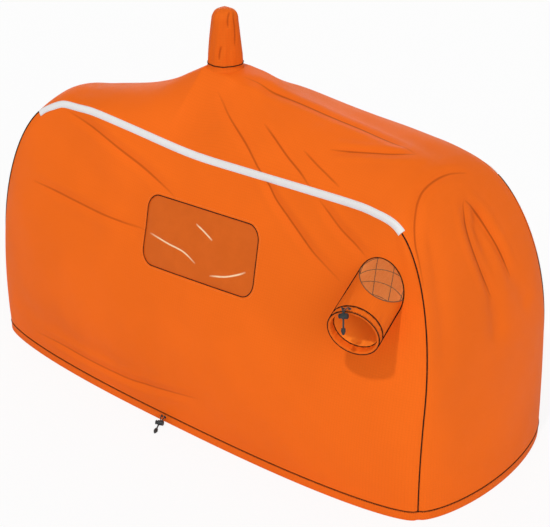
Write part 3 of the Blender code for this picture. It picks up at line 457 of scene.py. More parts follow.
def levelOf(z):  # 0 at the base, 1 at the seams' height
    return clamp(z / shell["seamHeight"])


def seamPoint(distance):  # x and z of the seam, by its length from the left end's base
    left = distance <= seamPath / 2
    along = np.minimum(distance, seamPath - distance)
    turn = clamp((along - straightSide) / shoulderPath) * math.pi / 2
    out = shell["halfLength"] - shell["shoulderRun"] * (1 - np.cos(turn))
    out = out - np.maximum(along - straightSide - shoulderPath, 0.0)
    height = np.minimum(along, straightSide) + shell["shoulderRise"] * np.sin(turn)
    x = np.where(left, -out, out)
    return x, height - seamDip(x) * clamp((height - straightSide) / shell["shoulderRise"])


def seamTop(x):
    out = clamp((np.abs(x) - roofHalf) / shell["shoulderRun"])
    return straightSide + (shell["shoulderRise"] - seamDip(x)) * np.sqrt(1 - out ** 2)


def halfDepth(z):
    level = levelOf(z)
    taper = (shell["topHalfDepth"] - shell["baseHalfDepth"]) * level ** 1.5
    return shell["baseHalfDepth"] + taper + shell["sideSwell"] * np.sin(math.pi * level)


def foldDepth(a, b, folds):
    total = np.zeros_like(a)
    for start, end, width, depth in folds:
        run = np.array(end) - np.array(start)
        inside = clamp(((a - start[0]) * run[0] + (b - start[1]) * run[1]) / (run @ run))
        away = np.hypot(a - start[0] - inside * run[0], b - start[1] - inside * run[1])
        total += depth * np.exp(-(away / width) ** 2)
    return total


def wallStand(x, z):  # how far the front panel stands out from the middle
    rise = clamp((z - straightSide) / shell["shoulderRise"])
    reach = shell["halfLength"] - shell["shoulderRun"] * (1 - np.sqrt(1 - rise ** 2))
    across = 1 - clamp(np.abs(x) / np.maximum(reach, 1e-3)) ** 2.5
    upward = 1 - clamp(z / np.maximum(seamTop(x), 1e-3)) ** 3
    level = levelOf(z)
    bow = shell["frontBowBase"] * (1 - level) + shell["frontBowMiddle"] * np.sin(math.pi * level)
    swell = clamp(across * upward)
    dent = foldDepth(x, z, broadFolds["front"]) * swell ** 0.5
    dent = dent * ease(shell["hemTop"], shell["hemTop"] + shell["aboveHem"], z)
    return halfDepth(z) + bow * swell ** shell["panelRoundness"] - dent


def ridge(x):
    toRight = (x - peak["x"] - peak["radius"]) / (roofHalf - peak["x"] - peak["radius"])
    right = shell["ridgeAtPeak"] + (shell["ridgeAtRight"] - shell["ridgeAtPeak"]) * np.clip(toRight, 0.0, None)
    left = shell["ridgeAtPeak"] * np.exp(-np.clip(peak["x"] - peak["radius"] - x, 0.0, None) / shell["ridgeFall"])
    return np.where(x >= peak["x"], right, left)


def droop(points):  # the rear left shoulder hangs lower than the front one
    moved = points.copy()
    back = ease(*shell["droopBack"], points[..., 1])
    left = 1 - ease(*shell["droopLeft"], points[..., 0])
    level = np.clip((points[..., 2] - shell["hemTop"]) / shell["seamHeight"], 0.0, None)
    moved[..., 2] -= shell["rearLeftDroop"] * left * back * level ** 2
    return moved


def seamLines(sideCells, topCells):
    return np.linspace(shell["hemTop"], split, sideCells + 1), np.linspace(split, seamPath - split, topCells + 1)


def wallPlaces(sideCells, topCells):  # x and z of the panel's grid, rows up from the hem, columns left to right
    side, top = seamLines(sideCells, topCells)
    sideX, sideZ = seamPoint(side)
    topX, topZ = seamPoint(top)
    rise = ((side - side[0]) / (side[-1] - side[0]))[:, None]
    across = ((top - top[0]) / (top[-1] - top[0]))[None, :]
    x = (1 - rise) * shell["halfLength"] * (2 * across - 1) + rise * topX[None, :]
    x = x + (1 - 2 * across) * (sideX[:, None] - (1 - rise) * sideX[0] - rise * sideX[-1])
    z = (1 - rise) * shell["hemTop"] + rise * topZ[None, :]
    z = z + sideZ[:, None] - (1 - rise) * sideZ[0] - rise * sideZ[-1]
    return x, z


def wallSurface(x, z):
    out = wallStand(x, z)
    for edge in (np.s_[-1, :], np.s_[:, 0], np.s_[:, -1]):
        out[edge] = halfDepth(z[edge])
    return np.stack([x, -out, z], axis=-1)


def seamRows():
    side, top = seamLines(shell["sideCells"], shell["topCells"])
    return np.concatenate([side, top[1:-1], seamPath - side[::-1]])


def seamOut(distances):  # the seam's own outward direction in x and z
    before, after = seamPoint(distances - 0.004), seamPoint(distances + 0.004)
    runX, runZ = after[0] - before[0], after[1] - before[1]
    level = np.minimum(distances, seamPath - distances) < shell["hemTop"] + 0.001
    runX = np.where(level, 0.0, runX)
    size = np.hypot(runX, runZ)
    return -runZ / size, runX / size


def bandSurface():  # rows follow the seam, columns run from front to rear
    distances = seamRows()
    x, z = seamPoint(distances)
    outX, outZ = seamOut(distances)
    level = levelOf(z)
    onTop = ease(*shell["onTop"], level)
    over = ease(shell["halfLength"], roofHalf - shell["endRun"], np.abs(x)) * onTop
    bow = shell["endBowBase"] * (1 - level) * (1 - over) + ridge(x) * over + bumps(x, shell["fill"]) * onTop
    share = np.linspace(-1.0, 1.0, shell["bandCells"] + 1)[None, :]
    roundForm = clamp(1 - share ** 2) ** shell["roofRoundness"]
    flatPart = peak["radius"] / shell["topHalfDepth"]
    slope = np.clip(np.abs(share) - flatPart, 0.0, None) / (1 - flatPart)
    nearPeak = (shell["pull"] * np.exp(-((x - peak["x"]) / shell["pullRun"]) ** 2) * onTop)[:, None]
    form = roundForm * (1 - nearPeak) + clamp(1 - slope) ** 1.2 * nearPeak
    stand = bow[:, None] * form
    points = np.stack([x[:, None] + outX[:, None] * stand, share * halfDepth(z)[:, None],
                       z[:, None] + outZ[:, None] * stand], axis=-1)
    px, py, pz = points[..., 0], points[..., 1], points[..., 2]
    onRoof = onTop[:, None] * ease(*shell["onRoof"], np.abs(px))
    dent = (foldDepth(px, py, broadFolds["roof"]) * onRoof
            + foldDepth(py, pz, broadFolds["end"]) * ease(*shell["atEnd"], px))
    dent = dent * ease(0.0, shell["besideSeams"], 1 - np.abs(share))
    points[..., 0] -= outX[:, None] * dent
    points[..., 2] -= outZ[:, None] * dent
    return droop(points)


def gridNormals(grid, away, wrap=False):  # unit normals of a grid, each on the side of the given directions
    beside = np.roll(grid, -1, axis=1) - np.roll(grid, 1, axis=1) if wrap else np.gradient(grid, axis=1)
    normals = unit(np.cross(np.gradient(grid, axis=0), beside))
    return np.where(np.sum(normals * away, axis=-1, keepdims=True) < 0, -normals, normals)


def outwardNormals(grid):
    return gridNormals(grid, grid - np.array([0.0, 0.0, shell["seamHeight"] / 2]))


def closedSheet(name, outer, outward, finish, marks=None, keep=None, wrap=False, lining=None, thick=shell["cloth"]):
    # a thin closed piece from a grid of points, its holes left where keep is false
    rows, columns = outer.shape[:2]
    row, column = np.mgrid[0:rows - 1, 0:columns if wrap else columns - 1]
    corners = [(row, column), (row + 1, column), (row + 1, column + 1), (row, column + 1)]
    if keep is not None:
        corners = [(r[keep], c[keep]) for r, c in corners]
    quads = np.stack([(r * columns + c % columns).ravel() for r, c in corners], axis=1)
    places = np.stack([np.stack([r.ravel(), c.ravel()], axis=1) for r, c in corners], axis=1)
    flat, away = outer.reshape(-1, 3), outward.reshape(-1, 3)
    facing = np.cross(flat[quads[:, 2]] - flat[quads[:, 0]], flat[quads[:, 3]] - flat[quads[:, 1]])
    if np.sum(facing * away[quads[:, 0]]) < 0:
        quads, places = quads[:, ::-1], places[:, ::-1]
    count = rows * columns
    start, end = quads.ravel(), np.roll(quads, -1, axis=1).ravel()
    rim = ~np.isin(start * count + end, end * count + start)
    rimPlaces = places.reshape(-1, 2)[rim]
    nextPlaces = np.roll(places, -1, axis=1).reshape(-1, 2)[rim]
    a, b = start[rim], end[rim]
    faces = np.concatenate([quads, quads[:, ::-1] + count, np.stack([b, a, a + count, b + count], axis=1)])
    facePlaces = np.concatenate([places, places[:, ::-1],
                                 np.stack([nextPlaces, rimPlaces, rimPlaces, nextPlaces], axis=1)])
    points = np.concatenate([flat, flat - away * thick]) + toFrame
    used, compact = np.unique(faces, return_inverse=True)
    alongs = np.cumsum(np.linalg.norm(np.diff(outer, axis=0, prepend=outer[:1]), axis=-1).mean(axis=1))
    closed = looped(outer, 1) if wrap else outer
    acrosses = np.cumsum(np.linalg.norm(np.diff(closed, axis=1, prepend=closed[:, :1]), axis=-1).mean(axis=0))
    cuts = np.stack([alongs[facePlaces[..., 0]], acrosses[facePlaces[..., 1]]], axis=-1)
    made = linkMesh(name, points[used], compact.reshape(faces.shape).tolist(), finish, cuts, 55)
    for key, values in (marks or {}).items():
        both = np.tile(values.ravel(), 2)[used]
        made.data.attributes.new(key, "FLOAT", "POINT").data.foreach_set("value", both.astype(np.float32))
    if lining:
        made.data.materials.append(finishes[lining])
        inside = np.repeat(np.array([0, 1, 0], dtype=np.int32), [len(quads), len(quads), len(a)])
        made.data.polygons.foreach_set("material_index", inside)
    return made


def surfaceArea(grid, keep=None, wrap=False):
    grid = looped(grid, 1) if wrap else grid
    first = np.cross(grid[1:, :-1] - grid[:-1, :-1], grid[:-1, 1:] - grid[:-1, :-1])
    second = np.cross(grid[1:, 1:] - grid[:-1, 1:], grid[1:, 1:] - grid[1:, :-1])
    area = (np.linalg.norm(first, axis=-1) + np.linalg.norm(second, axis=-1)) / 2
    return float(area.sum() if keep is None else area[keep].sum())


# Creases: each one its set, its strength and its places in mm. Lines that meet are in different sets, and places
# of two numbers are laid onto the cloth along the axis left out. A size is a depth, a half-width and a flank's share.
# A wave is a share of the ripple and two sines, each with its turns along x, y and z and its start

creases = {
    "size": (0.0032, 0.0105, 0.45), "ripple": 0.0016, "rearRipple": 0.0022,
    "waves": ((1.0, (13.0, 0.0, 4.0, 0.6), (0.0, 6.0, 9.0, 1.9)),
              (0.6, (23.0, 0.0, -11.0, 2.2), (0.0, 17.0, 12.0, 0.3)),
              (0.35, (41.0, 0.0, 27.0, 4.1), (0.0, 33.0, -21.0, 5.0))),
    "step": 0.003, "around": 0.05, "endShare": 0.22, "endPower": 0.7, "past": (0.004, 0.010),
    "lines": (
        ("A", 0.9, ((-444, -160, 639), (-354, -165, 622), (-258, -177, 599), (-175, -186, 580), (-99, -195, 558),
                    (-63, -202, 547))),
        ("B", 0.9, ((-516, -222, 458), (-452, -227, 459), (-359, -232, 456), (-274, -237, 454), (-200, -239, 456),
                    (-124, -240, 462))),
        ("A", 0.8, ((-493, -272, 64), (-394, -283, 73), (-303, -290, 72), (-161, -298, 77), (-81, -298, 88),
                    (25, -303, 109), (86, -305, 122))),
        ("A", 1.0, ((-67, -50, 756), (3, -89, 724), (79, -127, 699), (139, -152, 663), (167, -157, 641),
                    (197, -164, 613), (240, -175, 588), (315, -194, 546), (353, -202, 530), (414, -213, 507))),
        ("B", 1.0, ((96, -84, 737), (143, -101, 717), (194, -122, 698), (244, -140, 682), (283, -152, 662))),
        ("B", 0.8, ((309, -158, 646), (342, -162, 623), (379, -169, 601), (420, -175, 584), (455, -183, 569))),
        ("A", 0.8, ((222, -101, 714), (267, -115, 700), (317, -131, 689), (352, -142, 681))),
        ("A", 1.0, ((-34, 3, 780), (71, 4, 770), (154, 6, 761), (232, 10, 751), (306, 13, 741), (380, 11, 735),
                    (442, 6, 729))),
        ("B", 1.0, ((276, -80, 723), (348, -52, 729), (407, -24, 731), (442, 6, 729))),
        ("A", 0.9, ((523, 82, 684), (510, 31, 696), (506, -14, 698), (507, -58, 692), (514, -89, 678),
                    (526, -114, 660), (539, -134, 640), (555, -151, 615), (570, -159, 591), (594, -173, 540))),
        ("B", 1.2, ((552, 26, 652), (559, 16, 643), (567, 10, 629), (584, 3, 595), (600, 3, 558), (612, 9, 515),
                    (625, 18, 477), (638, 25, 442))),
        ("A", 1.2, ((552, 26, 652), (559, 40, 635), (570, 61, 604), (586, 76, 566), (606, 89, 528), (620, 98, 495),
                    (634, 104, 458))),
    ),
    "rear": (
        ("A", 0.9, ((-110, 590), (-50, 530), (40, 465), (120, 425))),
        ("B", 0.9, ((-220, 545), (-310, 480), (-380, 400), (-420, 330))),
        ("A", 0.8, ((160, 610), (250, 560), (330, 490), (370, 430))),
        ("B", 0.7, ((500, 430), (400, 440), (290, 420), (200, 380))),
        ("A", 0.7, ((-500, 75), (-360, 90), (-220, 88), (-60, 105))),
        ("B", 0.7, ((140, 115), (280, 88), (420, 82), (520, 64))),
    ),
    "leftEnd": (
        ("A", 0.9, ((-50, 540), (-30, 450), (-45, 360), (-70, 290))),
        ("B", 0.8, ((50, 480), (80, 400), (85, 320))),
    ),
    "pocket": (
        ("A", 0.9, ((-89, 18, 918), (-84, 7, 907), (-82, 4, 886))),
        ("B", 0.9, ((-88, 25, 917), (-77, 17, 906), (-73, 17, 886), (-71, 15, 863), (-69, 12, 842))),
        ("A", 0.9, ((-88, -11, 847), (-91, -13, 831), (-91, -17, 812))),
    ),
    "window": (
        ("A", 1.0, ((-109, -239, 458), (-53, -243, 452), (-3, -245, 448), (39, -250, 434))),
        ("B", 1.0, ((10, -215, 511), (39, -220, 502), (68, -225, 491))),
        ("B", 1.0, ((83, -256, 422), (124, -251, 432), (156, -245, 446), (175, -240, 457))),
    ),
}


def creaseMarks(points, normals, lines, reach=0.016):
    # signed distance to the nearest line of each set, and how much of the crease is there
    flat, away = points.reshape(-1, 3), normals.reshape(-1, 3)
    marks = {}
    for letter in ("A", "B"):
        gaps, holds, nearest = np.full(len(flat), 1.0), np.zeros(len(flat)), np.full(len(flat), 1e9)
        for own, strength, places in lines:
            if own != letter:
                continue
            route = smoothRoute(np.array(places) / 1000 - toFrame, creases["step"])
            low, high = route.min(axis=0) - creases["around"], route.max(axis=0) + creases["around"]
            near = np.flatnonzero(np.all((flat > low) & (flat < high), axis=1))
            if len(near) == 0:
                continue
            runs = unit(np.gradient(route, axis=0))
            part = flat[near]
            distance, best = np.full(len(near), 1e9), np.zeros(len(near), dtype=int)
            for k in range(len(route)):
                gap = np.linalg.norm(part - route[k], axis=1)
                closer = gap < distance
                distance[closer], best[closer] = gap[closer], k
            run, offset = runs[best], part - route[best]
            signed = np.sum(offset * unit(np.cross(run, away[near])), axis=1)
            past = np.abs(np.sum(offset * run, axis=1))
            share = best / (len(route) - 1)
            ends = clamp(np.minimum(share, 1 - share) / creases["endShare"]) ** creases["endPower"]
            hold = strength * ends
            hold *= (1 - ease(reach * 0.7, reach, np.abs(signed))) * (1 - ease(*creases["past"], past))
            better = distance < nearest[near]
            target = near[better]
            nearest[target], gaps[target], holds[target] = distance[better], signed[better], hold[better]
        marks["pleatGap" + letter] = gaps.reshape(points.shape[:2])
        marks["pleatHold" + letter] = holds.reshape(points.shape[:2])
    return marks


def creaseDepth(points, normals, lines, depth, halfWidth, flank):
    marks = creaseMarks(points, normals, lines, reach=halfWidth * 4)
    total = np.zeros(points.shape[:2])
    for letter in ("A", "B"):
        gap, hold = marks["pleatGap" + letter], marks["pleatHold" + letter]
        total += hold * depth * (np.exp(-(gap / halfWidth) ** 2)
                                 - flank * np.exp(-((np.abs(gap) - 2.1 * halfWidth) / halfWidth) ** 2))
    return total


def ripples(points, size):  # slow unevenness of stretched cloth
    x, y, z = (points[..., k] for k in range(3))
    wave = 0.0
    for share, *sines in creases["waves"]:
        first, second = (np.sin(a * x + b * y + c * z + start) for a, b, c, start in sines)
        wave = wave + share * first * second
    return size * wave


def dressed(points, mask, lines, ripple=creases["ripple"], shift=0.0):  # creased points, their normals and marks
    normals = outwardNormals(points)
    inward = creaseDepth(points, normals, lines, *creases["size"])
    inward = inward + ripples(points + shift, ripple)
    shaped = points - normals * (inward * mask)[..., None]
    normals = outwardNormals(shaped)
    return shaped, normals, creaseMarks(shaped, normals, lines)


def edgeMask(grid):  # 0 on the seams, 1 inside
    up, across = (ease(0.0, shell["edgeCells"], np.minimum(np.arange(n), n - 1 - np.arange(n)))
                  for n in grid.shape[:2])
    return up[:, None] * across[None, :]


# Window and vent openings in the front panel

window = {"x": 0.035, "z": 0.474, "width": 0.318, "height": 0.142, "corner": 0.030, "tilt": 0.045, "lean": 0.20,
          "margin": 0.010, "binding": 0.0023, "behind": 0.0012, "thick": 0.0007, "waves": 0.0006, "cells": (149, 71),
          "crease": (0.0010, 0.0050, 0.3), "creaseReach": 0.012, "stitchesOut": 0.0058}
vent = {"fromEnd": 0.136, "z": 0.514, "splay": math.radians(14.0), "droop": math.radians(12.5), "length": 0.136,
        "radius": 0.0565, "netStart": -0.035, "netSlope": 1.88, "netFacing": math.radians(25.0),
        "lap": 0.0015, "inside": 0.0004, "rows": 44, "slack": 0.0011, "gather": 0.0009,
        "hemWidth": 0.018, "hemInner": 0.0062, "hemCorner": 0.0022, "hemSides": 180, "hemGather": 0.0004,
        "seamLeft": math.radians(149.0), "seamRight": math.radians(-21.0), "sides": 144}


def windowGap(x, z):  # distance outside the window's edge
    b = z - window["z"] - window["tilt"] * (x - window["x"])
    a = x - window["x"] + window["lean"] * b
    toSide = np.abs(a) - (window["width"] / 2 - window["corner"])
    toTop = np.abs(b) - (window["height"] / 2 - window["corner"])
    outside = np.hypot(np.maximum(toSide, 0.0), np.maximum(toTop, 0.0))
    return outside + np.minimum(np.maximum(toSide, toTop), 0.0) - window["corner"]


def ventFrame():  # across, up, and out along the sleeve
    level = math.cos(vent["droop"])
    out = Vector((math.sin(vent["splay"]) * level, -math.cos(vent["splay"]) * level, -math.sin(vent["droop"])))
    across = Vector((0.0, 0.0, 1.0)).cross(out).normalized()
    up = out.cross(across)
    x = shell["halfLength"] - vent["fromEnd"]
    stand = float(wallStand(np.array([x]), np.array([vent["z"]]))[0])
    return np.array([x, -stand, vent["z"]]), np.array(across), np.array(up), np.array(out)


ventPlace, ventAcross, ventUp, ventOut = ventFrame()


def ventGap(x, z):  # distance outside the sleeve's bore
    offset = np.stack([x, -wallStand(x, z), z], axis=-1) - ventPlace
    return np.hypot(offset @ ventAcross, offset @ ventUp) - (vent["radius"] - shell["cloth"])


cellCorners = (np.s_[:-1, :-1], np.s_[1:, :-1], np.s_[:-1, 1:], np.s_[1:, 1:])


def middles(grid):  # of a grid's cells
    return sum(grid[corner] for corner in cellCorners) / 4


def openHole(x, z, gap, step=1e-4):
    # drops the cells inside an edge, and moves the corners beside it onto the edge
    keep = gap(middles(x), middles(z)) > 0
    kept, dropped = np.zeros_like(x, dtype=bool), np.zeros_like(x, dtype=bool)
    for corner in cellCorners:
        kept[corner] |= keep
        dropped[corner] |= ~keep
    edge = kept & dropped
    for _ in range(4):
        ex, ez = x[edge], z[edge]
        here = gap(ex, ez)
        slopeX = (gap(ex + step, ez) - gap(ex - step, ez)) / (2 * step)
        slopeZ = (gap(ex, ez + step) - gap(ex, ez - step)) / (2 * step)
        size = np.maximum(slopeX ** 2 + slopeZ ** 2, 1e-6)
        x[edge] = ex - here * slopeX / size
        z[edge] = ez - here * slopeZ / size
    return keep


def gridTree(grid):
    index = np.arange(grid.shape[0] * grid.shape[1]).reshape(grid.shape[:2])
    quads = np.stack([index[:-1, :-1], index[1:, :-1], index[1:, 1:], index[:-1, 1:]], axis=-1).reshape(-1, 4)
    return BVHTree.FromPolygons([Vector(point) for point in grid.reshape(-1, 3)], quads.tolist())


def laidLines(grid, lines, axis, sign):  # lines told by pairs, laid onto a grid along the axis left out
    tree, way, laid = gridTree(grid), Vector(np.eye(3)[axis] * sign), []
    for letter, strength, places in lines:
        starts = [Vector(np.insert(np.array(place) / 1000, axis, 0.0)) - 2 * way for place in places]
        hits = [tree.ray_cast(start, way)[0] + Vector(toFrame) for start in starts]
        laid.append((letter, strength, np.array(hits) * 1000))
    return laid


def buildShell():
    x, z = wallPlaces(shell["sideCells"], shell["topCells"])
    keep = openHole(x, z, windowGap)
    keep &= openHole(x, z, ventGap)
    plain = wallSurface(x, z)
    front, frontOut, marks = dressed(plain, edgeMask(plain), creases["lines"])
    addCloth("frontPanel", "front_panel", front, frontOut, "shell", marks, keep, lining="inner")
    rear = droop(wallSurface(*wallPlaces(*shell["rearCells"])) * np.array([1.0, -1.0, 1.0]))
    lines = laidLines(rear, creases["rear"], 1, -1.0)
    rear, rearOut, marks = dressed(rear, edgeMask(rear), lines, creases["rearRipple"], 0.37)
    addCloth("rearPanel", "rear_panel", rear, rearOut, "shell", marks, lining="inner")
    band = bandSurface()
    low = band[..., 2] < 0.9 * shell["seamHeight"]
    awayFromPeak = ease(*peak["calm"], np.hypot(band[..., 0] - peak["x"], band[..., 1]) + low)
    lines = [*creases["lines"], *laidLines(band, creases["leftEnd"], 0, 1.0)]
    band, bandOut, marks = dressed(band, edgeMask(band) * awayFromPeak, lines)
    middle = middles(band)
    inside = np.hypot(middle[..., 0] - peak["x"], middle[..., 1]) < peak["radius"] - peak["lap"]
    keepBand = ~(inside & (middle[..., 2] > shell["seamHeight"]))
    addCloth("roofBand", "roof_band", band, bandOut, "shell", marks, keepBand, lining="inner")
    areas.update({"frontPanel": surfaceArea(front, keep), "rearPanel": surfaceArea(rear),
                  "roofBand": surfaceArea(band)})
    return {"front": front, "rear": rear, "band": band, "bandOut": bandOut}


grids = buildShell()
trees = {key: gridTree(grids[key]) for key in ("front", "rear", "band")}
print("shell panels made")


def seat(points, outs, lift, key, reach=0.03):  # moves places onto the cloth, along their own outward directions
    seated = points + outs * lift
    for k, (point, out) in enumerate(zip(points, outs)):
        hit = trees[key].ray_cast(Vector(point + out * reach), Vector(-out), reach * 2)[0]
        if hit is not None:
            seated[k] = np.array(hit) + out * lift
    return seated


# Reflective tape over the two upper seams

tape = {"lift": 0.0008, "crown": 0.0006, "thick": 0.0007, "reach": 0.0086, "spread": 1.4, "samples": 9,
        "cells": 6, "step": 0.0048, "leftEnd": 0.026, "leftShift": 0.006, "leftRun": 0.16}


def bandPoint(rows, share):  # a place on the band's own facets
    band = grids["band"]
    place = np.interp(rows, seamRows(), np.arange(band.shape[0]))
    column = (share + 1) / 2 * (band.shape[1] - 1)
    r, c = np.minimum(place.astype(int), band.shape[0] - 2), np.minimum(column.astype(int), band.shape[1] - 2)
    u, v = (place - r)[:, None], (column - c)[:, None]
    return (band[r, c] * (1 - u) * (1 - v) + band[r + 1, c] * u * (1 - v) + band[r, c + 1] * (1 - u) * v
            + band[r + 1, c + 1] * u * v)


def byWidth(samples, reach, steps):  # places at equal widths along each row of samples, out from the seam
    widths = np.cumsum(np.linalg.norm(np.diff(samples, axis=0, prepend=samples[:1]), axis=-1), axis=0)
    wanted = np.linspace(0.0, 1.0, steps)[:, None] * reach
    found = np.empty((steps, *samples.shape[1:]))
    for k in range(samples.shape[1]):
        for axis in range(3):
            found[:, k, axis] = np.interp(wanted[:, k], widths[:, k], samples[:, k, axis])
    return found


def buildTape(key, side, leftEnd, replaced):  # side is -1 for the front tape, 1 for the rear one
    front = side < 0
    rows = np.arange(split - leftEnd, seamPath - split, tape["step"])
    x, z = seamPoint(rows)
    outX, outZ = seamOut(rows)
    shift = tape["leftShift"] * (1 - ease(split, split + tape["leftRun"], rows)) * front
    widths = np.linspace(0.0, tape["spread"] * tape["reach"], tape["samples"])
    wallSide = [bandPoint(rows, np.full(len(rows), side))]
    for width in widths[1:]:
        wallX, wallZ = x - outX * width, z - outZ * width
        wall = np.stack([wallX, side * wallStand(wallX, wallZ), wallZ], axis=1)
        wallSide.append(seat(wall if front else droop(wall), np.tile([0.0, side, 0.0], (len(rows), 1)), 0.0,
                             "front" if front else "rear"))
    bandSide = [bandPoint(rows, side * (1 - width / halfDepth(z))) for width in widths]
    wall = byWidth(np.array(wallSide), tape["reach"] + shift, tape["cells"])[:0:-1]
    band = byWidth(np.array(bandSide), tape["reach"] - shift, tape["cells"])
    grid = np.concatenate([wall, band]).transpose(1, 0, 2)
    out = outwardNormals(grid)
    grid = grid + out * (tape["lift"] + tape["crown"] * np.sin(np.linspace(0, math.pi, grid.shape[1])))[:, None]
    addPiece(key, closedSheet(key, grid, out, "tape", thick=tape["thick"]), "strip", replaced)
    return grid, out


tapes = [buildTape("frontTape", -1.0, tape["leftEnd"], "reflective_strip_front"),
         buildTape("rearTape", 1.0, 0.0, "reflective_strip_rear")]
print("tape made")


# Base hem: a tunnel with its drawcord, a little gathered

hem = {"height": 0.024, "depth": 0.009, "corner": 0.0016, "bulge": 0.0003, "gather": 0.0007,
       "gatherLength": 0.021, "secondLength": 0.0137, "cordHeight": 0.0140, "cells": 330, "steps": 1100}


def baseLine():  # once round: front, right end, rear, left end
    x = np.linspace(-shell["halfLength"], shell["halfLength"], hem["cells"])
    frontY = -wallStand(x, np.full_like(x, shell["hemTop"]))
    frontY[0] = frontY[-1] = -halfDepth(shell["hemTop"])
    front, rear = np.stack([x, frontY], axis=1), np.stack([x[::-1], -frontY[::-1]], axis=1)
    right, left = grids["band"][-1, :, :2], grids["band"][0, ::-1, :2]
    loop = looped(np.concatenate([part[:-1] for part in (front, right, rear, left)]))
    even, places = evenPlaces(loop, hem["steps"], False)
    run = unit(np.roll(even, -1, axis=0) - np.roll(even, 1, axis=0))
    return even, np.stack([-run[:, 1], run[:, 0]], axis=1), places  # the second points inwards


def buildHem():
    line, inward, places = baseLine()
    depth, height, corner = hem["depth"], hem["height"], hem["corner"]
    section = arcs(((corner, corner), (depth - corner, corner), (depth - corner, height - corner),
                    (corner, height - corner)), corner, 4, 2)
    section = np.array(section + [(-hem["bulge"], height * share) for share in (0.75, 0.5, 0.25)])
    pucker = hem["gather"] * (np.sin(places * 2 * math.pi / hem["gatherLength"])
                              + 0.6 * np.sin(places * 2 * math.pi / hem["secondLength"] + 1.0))
    level = clamp(section[:, 1] / height)
    face = clamp(1 - section[:, 0] / depth * 2)
    offset = section[:, 0] + np.abs(pucker[:, None] * (np.sin(math.pi * level) * face)) * 0.9
    x, y = (line[:, None, k] + inward[:, None, k] * offset for k in range(2))
    points = np.stack([x, y, np.broadcast_to(section[:, 1], offset.shape)], axis=-1)
    alongs = np.append(places, places[-1] * len(places) / (len(places) - 1))
    faces, cuts = loft(points, alongs, runLengths(looped(section)), flip=True)
    addPiece("baseHem", linkMesh("baseHemCloth", points + toFrame, faces, "hem", cuts), "hem", "base_hem")
    return line, inward


hemLine, hemInward = buildHem()
print("hem made")


def hemRow(inset, height):  # a row of points once round, a little inside the hem's face
    return np.column_stack([hemLine + hemInward * inset, np.full(len(hemLine), height)])


# Vent: a sleeve with a net let into its upper side, and a gathered hem at its mouth

def ringOf(angle):  # directions out from the sleeve's axis
    return np.cos(angle)[..., None] * ventAcross + np.sin(angle)[..., None] * ventUp


def sleevePoint(angle, radius, along):
    return ventPlace + np.asarray(radius)[..., None] * ringOf(angle) + np.asarray(along)[..., None] * ventOut


def reachOfWall(angle):  # how far along the sleeve's axis the panel is
    along = np.zeros_like(angle)
    for _ in range(30):
        point = sleevePoint(angle, vent["radius"], along)
        along = along - 0.9 * (point[..., 1] + wallStand(point[..., 0], point[..., 2])) / ventOut[1]
    return along


def netEdge(angle):  # how far along the sleeve's axis the net ends
    facing = np.cos(angle) * math.sin(vent["netFacing"]) + np.sin(angle) * math.cos(vent["netFacing"])
    return vent["netStart"] + vent["netSlope"] * vent["radius"] * facing


def buildVent():
    angle = circle(vent["sides"])
    share = np.linspace(0.0, 1.0, vent["rows"])[:, None]
    start, end = np.maximum(reachOfWall(angle) - vent["lap"], netEdge(angle)), vent["length"] - vent["hemWidth"]
    along = start * (1 - share) + end * share
    wave = (vent["slack"] * np.sin(7 * angle + 1.0) * np.sin(math.pi * share)
            + vent["gather"] * np.sin(19 * angle + 30 * along) * ease(0.3, 1.0, share))
    grid = sleevePoint(angle, vent["radius"] - vent["inside"] + wave, along)
    outward = gridNormals(grid, ringOf(angle), wrap=True)
    addCloth("ventSleeve", "vent_sleeve", grid, outward, "sleeve", creaseMarks(grid, outward, ()), wrap=True,
             lining="lining")
    areas["ventSleeve"] = surfaceArea(grid, wrap=True)


def buildVentHem():  # a rounded section turned about the sleeve's axis
    corner, high, far = vent["hemCorner"], vent["radius"] + 0.0002, vent["length"]
    low, near = vent["radius"] - vent["hemInner"], vent["length"] - vent["hemWidth"]
    section = np.array(arcs(((high - corner, far - corner), (low + corner, far - corner),
                             (low + corner, near + corner), (high - corner, near + corner)), corner, 4))
    angle = circle(vent["hemSides"])
    wave = vent["hemGather"] * (np.sin(22 * angle) + 0.5 * np.sin(37 * angle + 2.0))
    points = sleevePoint(angle, section[:, :1] + wave, section[:, 1:])
    arounds = np.arange(vent["hemSides"] + 1) / vent["hemSides"] * 2 * math.pi * vent["radius"]
    faces, cuts = loft(points, runLengths(looped(section)), arounds)
    addPiece("ventHemCloth", linkMesh("ventHemCloth", points + toFrame, faces, "hem", cuts), "hem", "vent_hem")


buildVent()
buildVentHem()
print("vent made")


# Peak pocket for the pole that holds the roof up

def roofHeights(x, y):
    return np.array([trees["band"].ray_cast(Vector((a, b, 2.0)), Vector((0.0, 0.0, -1.0)))[0].z
                     for a, b in zip(x, y)])


